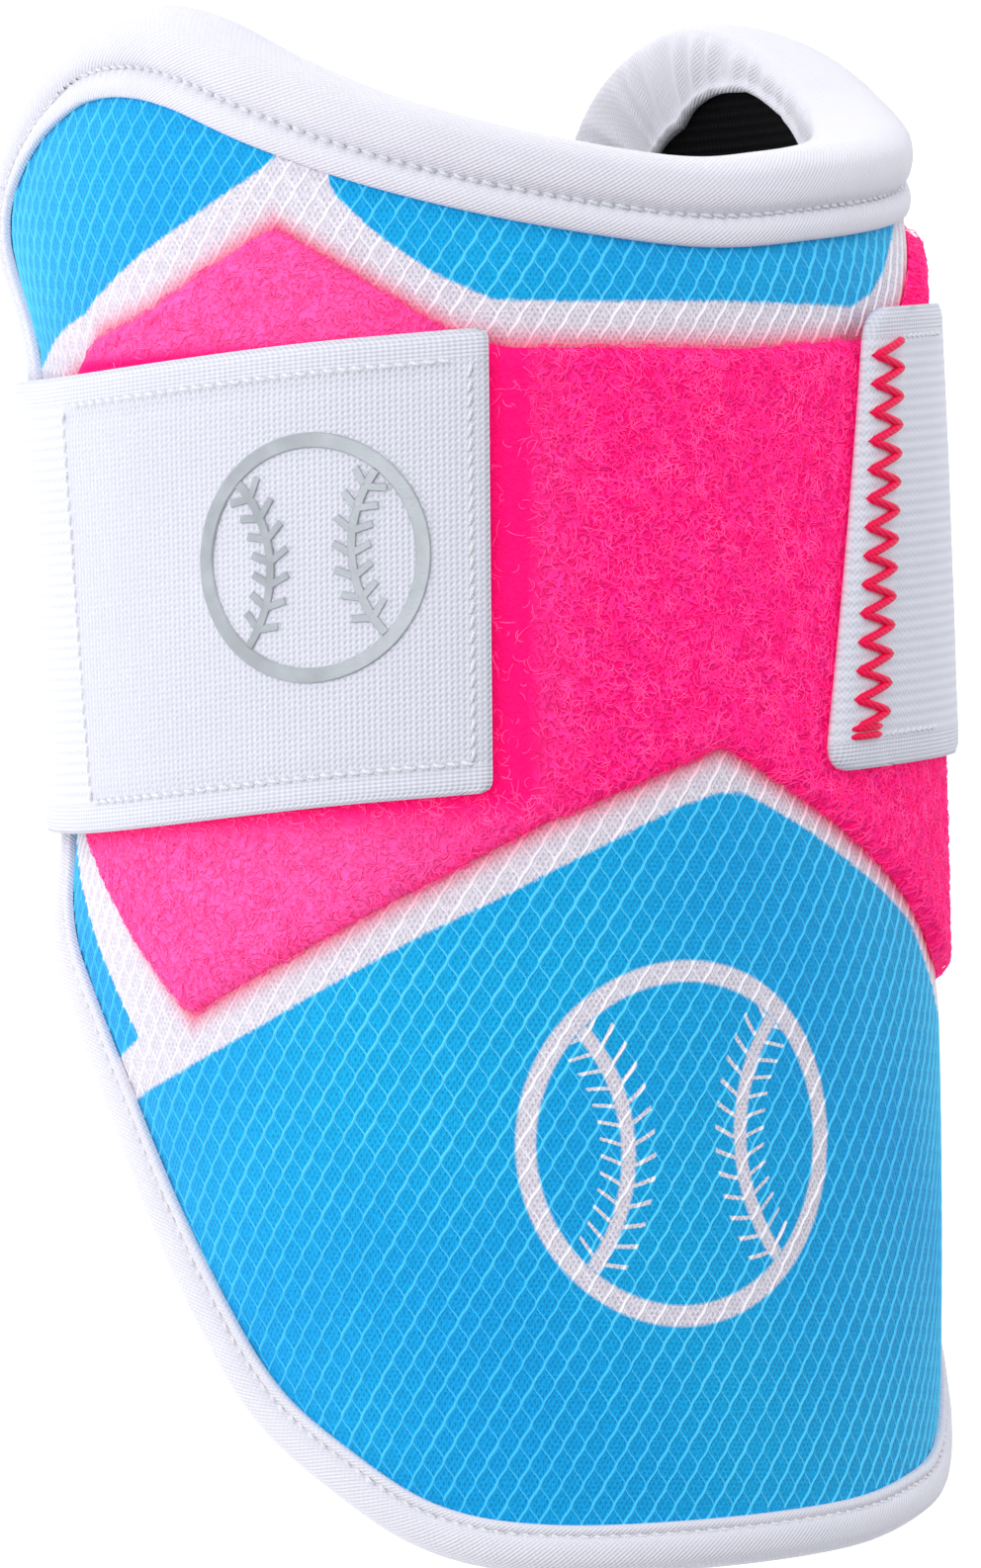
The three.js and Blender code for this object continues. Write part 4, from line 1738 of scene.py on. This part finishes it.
class GUARD_OT_stitching(bpy.types.Operator):
    """White seams of the cuff, the binding and the strap, and the pink zigzag"""

    bl_idname = "guard.stitching"
    bl_label = "Stitching"

    # The rectangle's rows start at a turn beside the strap's front end, and its front row runs along it
    top_length = 62
    foot_length = 64
    rows_start = -38.4
    front_inset = 2.2
    # Two rows start beyond the strap's sewn end and lie so far from its high and its low edge
    sewn_length = 26
    sewn_gap = 3
    sewn_insets = (4.2, 4.4)
    # The zigzag's distance from the strap's low edge, its turns from the sewn end, and thread
    tack_inset = 5.6
    tack_turns = (2.7, 9.2)
    tack_drift = (-1.7, 0.4)
    tack_hump = 0.42
    tack_radius = 0.6
    # The bars' turns from the sewn end, distance from each other and thread
    bar_turns = (2.7, 8.6)
    bar_gap = 1.1
    bar_hump = 0.4
    bar_radius = 0.48

    def execute(self, context):
        _sizes, colours, shell = start_of(context)
        white = Batch()
        self.trim_seams(white, shell)
        self.strap_seams(white, shell)
        finish = thread_finish("white_thread", colours.thread, 0.55, 0.7)
        add_piece("white_stitches", white.points, white.faces, finish)
        pink = Batch()
        self.zigzag(pink, shell)
        # The pink thread gets a faint painted glow, which lightens it as light would.
        finish = thread_finish(
            "pink_thread", colours.tack, 0.5, 0.9, specular_ior_level=0.2,
            emission_color=(*colours.tack, 1), emission_strength=0.14,
        )
        add_piece("zigzag_tack", pink.points, pink.faces, finish)
        return {"FINISHED"}

    def trim_seams(self, batch, shell):
        sizes = shell.sizes
        trims = ((CUFF_ENDS, CUFF_PITCH, True), (CUFF_ENDS[::-1], BINDING_PITCH, False))
        for ends, pitch, is_cuff in trims:
            stations, length = edge_path(shell, *ends, 0.5)

            def place_at(distance, side, height):
                spot = min(len(stations) - 1, round(distance / length * (len(stations) - 1)))
                place, away, share = stations[spot]
                blend = cuff_fullness(share) if is_cuff else 0
                trim = mixed_trim(TRIMS["binding"], TRIMS["cuff"], blend)
                flat = place + away * (trim["bead"] - trim["cover"] + BEYOND_GROOVE + side)
                return shell.laid(*flat, sizes.slot_gap + GROOVE * trim["bead_height"] + height)

            stitch_row(batch, place_at, length, sizes, pitch)

    def strap_seams(self, batch, shell):
        """The rectangle over the hook patch, and a row along each edge from the sewn end."""
        sizes = shell.sizes
        half = sizes.strap_width / 2
        degree = math.degrees(1 / (shell.base + 6))
        top, foot = half - TOP_SEAM + 1.4, FOOT_SEAM - half

        def round_arm(start, way, across):
            return lambda distance, side, height: on_strap(
                shell, start + way * distance * degree, across + side, height - STRAP_SINK,
            )

        def up_strap(turn_at):
            return lambda distance, side, height: on_strap(
                shell, turn_at(foot + distance) + side * degree, foot + distance, height - STRAP_SINK,
            )

        seams = [
            (round_arm(self.rows_start, -1, top), self.top_length),
            (round_arm(self.rows_start, -1, foot), self.foot_length),
            (up_strap(lambda across: ends_at(sizes, across)[0] - self.front_inset), top - foot),
            (up_strap(lambda _across: BACK_SEAM_TURN), top - foot),
        ]
        high_inset, low_inset = self.sewn_insets
        for across in (half - high_inset, low_inset - half):
            start = ends_at(sizes, across)[1] + self.sewn_gap
            seams.append((round_arm(start, 1, across), self.sewn_length))
        for place_at, length in seams:
            stitch_row(batch, place_at, length, sizes, STRAP_PITCH)

    def zigzag(self, batch, shell):
        """The tack over the sewn end, and two bars that close it at its foot."""
        sizes = shell.sizes
        half = sizes.strap_width / 2
        low, high = self.tack_inset - half, half - self.tack_inset + 1
        steps = 10
        corners = 27
        line = []
        for corner in range(corners):
            for step in range(steps):
                place = corner + step / steps
                share = place / corners
                across = lerp(high, low, share)
                hump = self.tack_hump * math.sin(math.pi * step / steps) ** 0.5
                turn = ends_at(sizes, across)[1] + lerp(*self.tack_drift, share)
                turn += lerp(*self.tack_turns, abs(place % 2 - 1))
                line.append(on_strap(shell, turn, across, HEM_RISE + hump))
        batch.add(*thread_tube(line, self.tack_radius * MM, 8))
        for across in (low, low - self.bar_gap):
            end = ends_at(sizes, across)[1]
            bar = []
            for share in (step / 7 for step in range(8)):
                hump = self.bar_hump * math.sin(math.pi * share)
                turn = end + lerp(*self.bar_turns, share)
                bar.append(on_strap(shell, turn, across, HEM_RISE + hump))
            batch.add(*thread_tube(bar, self.bar_radius * MM, 8))


class GUARD_OT_emblem(bpy.types.Operator):
    """Raised line drawing of a ball and its seams on the strap"""

    bl_idname = "guard.emblem"
    bl_label = "Strap ball"

    # Where its centre lies on the strap, and its line's width and height
    turn = -56
    across = 2.4
    stroke = 2.1
    height = 0.34
    ticks = 7

    def execute(self, context):
        sizes, colours, shell = start_of(context)
        radius = sizes.emblem / 2
        film = Batch()
        ring = [
            Vector((math.cos(turn), math.sin(turn))) * (radius - self.stroke / 2)
            for turn in (2 * math.pi * k / 120 for k in range(120))
        ]
        self.add_line(film, shell, ring, self.stroke, loops=True)
        for side in (-1, 1):
            self.add_seam(film, shell, side, radius)
        finish = film_finish(colours)
        add_piece("strap_ball", film.points, film.faces, finish, smooth=False)
        return {"FINISHED"}

    def add_seam(self, film, shell, side, radius):
        """A seam that ends inside the ring, with a pair of stitches at each tick."""
        spread = SEAM_SPREAD
        centre = Vector((side * spread * radius, 0))
        half_angle = math.acos((1 + spread ** 2 - (1 - self.stroke / radius) ** 2) / (2 * spread))

        def seam_point(angle, reach):
            return centre + Vector((-side * math.cos(angle), math.sin(angle))) * reach

        seam = [seam_point(lerp(-half_angle, half_angle, step / 40), radius) for step in range(41)]
        self.add_line(film, shell, seam, 0.6 * self.stroke)
        for index in range(self.ticks):
            angle = lerp(-half_angle, half_angle, (index + 0.85) / (self.ticks + 0.7))
            for lean in (-1, 1):
                inner, outer = (
                    seam_point(angle + share * 0.085, radius + lean * share * 1.25 * self.stroke)
                    for share in (0.1, 1)
                )
                self.add_line(film, shell, straight(inner, outer, 4), 0.5 * self.stroke)

    def add_line(self, film, shell, line, width, loops=False):
        """A flat-topped ribbon with slightly rounded edges."""
        section = (
            (-1, -0.15), (-1, 0.2), (-0.82, self.height), (0.82, self.height), (1, 0.2), (1, -0.15),
        )
        rings = []
        for index, place in enumerate(line):
            if loops:
                way = (line[(index + 1) % len(line)] - line[index - 1]).normalized()
            else:
                way = way_at(line, index)
            side = sideways(way)
            ring = []
            for share, depth in section:
                flat = place + side * share * width / 2
                turn = self.turn + math.degrees(flat.x / (shell.base + 6))
                ring.append(on_strap(shell, turn, self.across + flat.y, depth))
            rings.append(ring)
        film.add(*swept(rings, loops))


# Stage

# The camera's turn round the arm, its rise and its roll, and its distance from what it aims at
CAMERA_YAW = 37
CAMERA_RISE = 0.5
CAMERA_ROLL = 3.25
CAMERA_DISTANCE = 1900

# What it sees from top to bottom, and where it aims: along the arm, and to the side
VIEW_HEIGHT = 220.3
AIM_ALONG = 106.52
AIM_SHIFT = 0.333

# Lamps: name, place and width in metres, power in watts and tint
LAMPS = (
    ("key", (-1.5, 0.4, 1.1), 1.2, 18.4, (1, 1, 1)),
    ("fill", (1.35, 0.45, 1.15), 1.4, 10.2, (0.95, 0.97, 1)),
    ("top", (-0.1, 1.5, 1.1), 1.2, 7.6, (1, 1, 1)),
)
ROOM_TINT = (0.93, 0.95, 1, 1)
ROOM_LIGHT = 0.41
FLOOR_GLOW = 0.7

# Half the floor's width in metres
FLOOR_REACH = 6


class GUARD_OT_stage(bpy.types.Operator):
    """Pale floor, soft lights and the camera"""

    bl_idname = "guard.stage"
    bl_label = "Stage"

    def execute(self, context):
        self.add_floor(context)
        self.add_lights(context)
        self.add_camera(context)
        return {"FINISHED"}

    def add_floor(self, context):
        tint = context.scene.guard_colours.floor
        shader = Shader(
            "pale_floor", roughness=0.9, emission_color=(1, 1, 1, 1), emission_strength=FLOOR_GLOW,
        )
        x, y, _z = shader.position()
        shader.paint(shader.mix(shader.noise(x, y, 0.004, 2.0), shaded(tint, 0.985), tint))
        shader.raise_relief(shader.noise(x, y, 0.5, 2.0), 0.02)
        mesh = bpy.data.meshes.new("floor")
        steps = 12
        places = [lerp(-FLOOR_REACH, FLOOR_REACH, step / steps) for step in range(steps + 1)]
        mesh.from_pydata([(x, y, 0) for y in places for x in places], [], grid_faces(steps, steps))
        mesh.materials.append(shader.material)
        floor = bpy.data.objects.new("floor", mesh)
        context.scene.collection.objects.link(floor)
        floor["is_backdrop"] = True

    def add_lights(self, context):
        world = bpy.data.worlds.new("soft_room")
        world.use_nodes = True
        ground = world.node_tree.nodes["Background"]
        ground.inputs["Color"].default_value = ROOM_TINT
        ground.inputs["Strength"].default_value = ROOM_LIGHT
        context.scene.world = world
        for name, place, across, power, tint in LAMPS:
            light = bpy.data.lights.new(name, "AREA")
            light.size = across
            light.energy = power
            light.color = tint
            lamp = bpy.data.objects.new(name, light)
            lamp.location = place
            lamp.rotation_mode = "QUATERNION"
            lamp.rotation_quaternion = (-Vector(place)).to_track_quat("-Z", "Y")
            context.scene.collection.objects.link(lamp)
        context.scene.view_settings.view_transform = "Standard"

    def add_camera(self, context):
        yaw, rise, roll = (math.radians(a) for a in (CAMERA_YAW, CAMERA_RISE, CAMERA_ROLL))
        right = Vector((math.cos(yaw), 0, math.sin(yaw)))
        back = Vector((-math.sin(yaw) * math.cos(rise), math.sin(rise), math.cos(yaw) * math.cos(rise)))
        up = back.cross(right)
        across = right * math.cos(roll) - up * math.sin(roll)
        upward = right * math.sin(roll) + up * math.cos(roll)
        target = AXIS + Vector((0, AIM_ALONG, 0)) + across * AIM_SHIFT
        place = (target + back * CAMERA_DISTANCE) * MM
        turned = Matrix((across, upward, back)).transposed().to_4x4()
        view = bpy.data.cameras.new("camera")
        view.sensor_width = 36
        view.lens = view.sensor_width * CAMERA_DISTANCE / VIEW_HEIGHT
        view.clip_start = 0.05
        view.clip_end = 50
        camera = bpy.data.objects.new("camera", view)
        camera.matrix_world = Matrix.Translation(place) @ turned
        context.scene.collection.objects.link(camera)
        context.scene.camera = camera


STEPS = (
    GUARD_OT_stage,
    GUARD_OT_press_cover,
    GUARD_OT_pad_cover,
    GUARD_OT_cover_ribs,
    GUARD_OT_lining,
    GUARD_OT_loop_panel,
    GUARD_OT_pile_fibres,
    GUARD_OT_cuff,
    GUARD_OT_binding,
    GUARD_OT_hook_patch,
    GUARD_OT_strap,
    GUARD_OT_emblem,
    GUARD_OT_stitching,
)


class GUARD_PT_parts(bpy.types.Panel):
    """Sizes, colours and the steps that dress the guard"""

    bl_idname = "GUARD_PT_parts"
    bl_label = "Elbow guard"
    bl_space_type = "VIEW_3D"
    bl_region_type = "UI"
    bl_category = "Elbow guard"

    def draw(self, context):
        for group in (context.scene.guard_sizes, context.scene.guard_colours):
            column = self.layout.column(align=True)
            for name in group.__annotations__:
                column.prop(group, name)
        for step in STEPS:
            self.layout.operator(step.bl_idname)


CLASSES = (GuardSizes, GuardColours, *STEPS, GUARD_PT_parts)


def register():
    for cls in CLASSES:
        bpy.utils.register_class(cls)
    bpy.types.Scene.guard_sizes = bpy.props.PointerProperty(type=GuardSizes)
    bpy.types.Scene.guard_colours = bpy.props.PointerProperty(type=GuardColours)


def unregister():
    del bpy.types.Scene.guard_colours
    del bpy.types.Scene.guard_sizes
    for cls in reversed(CLASSES):
        bpy.utils.unregister_class(cls)


def main():
    register()
    for step in STEPS:
        group, name = step.bl_idname.split(".")
        getattr(getattr(bpy.ops, group), name)()
    boxes = {"cad": CAD_BOX, "visual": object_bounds()}
    lines = {name: [list(corner) for corner in box] for name, box in boxes.items()}


if __name__ == "__main__":
    main()
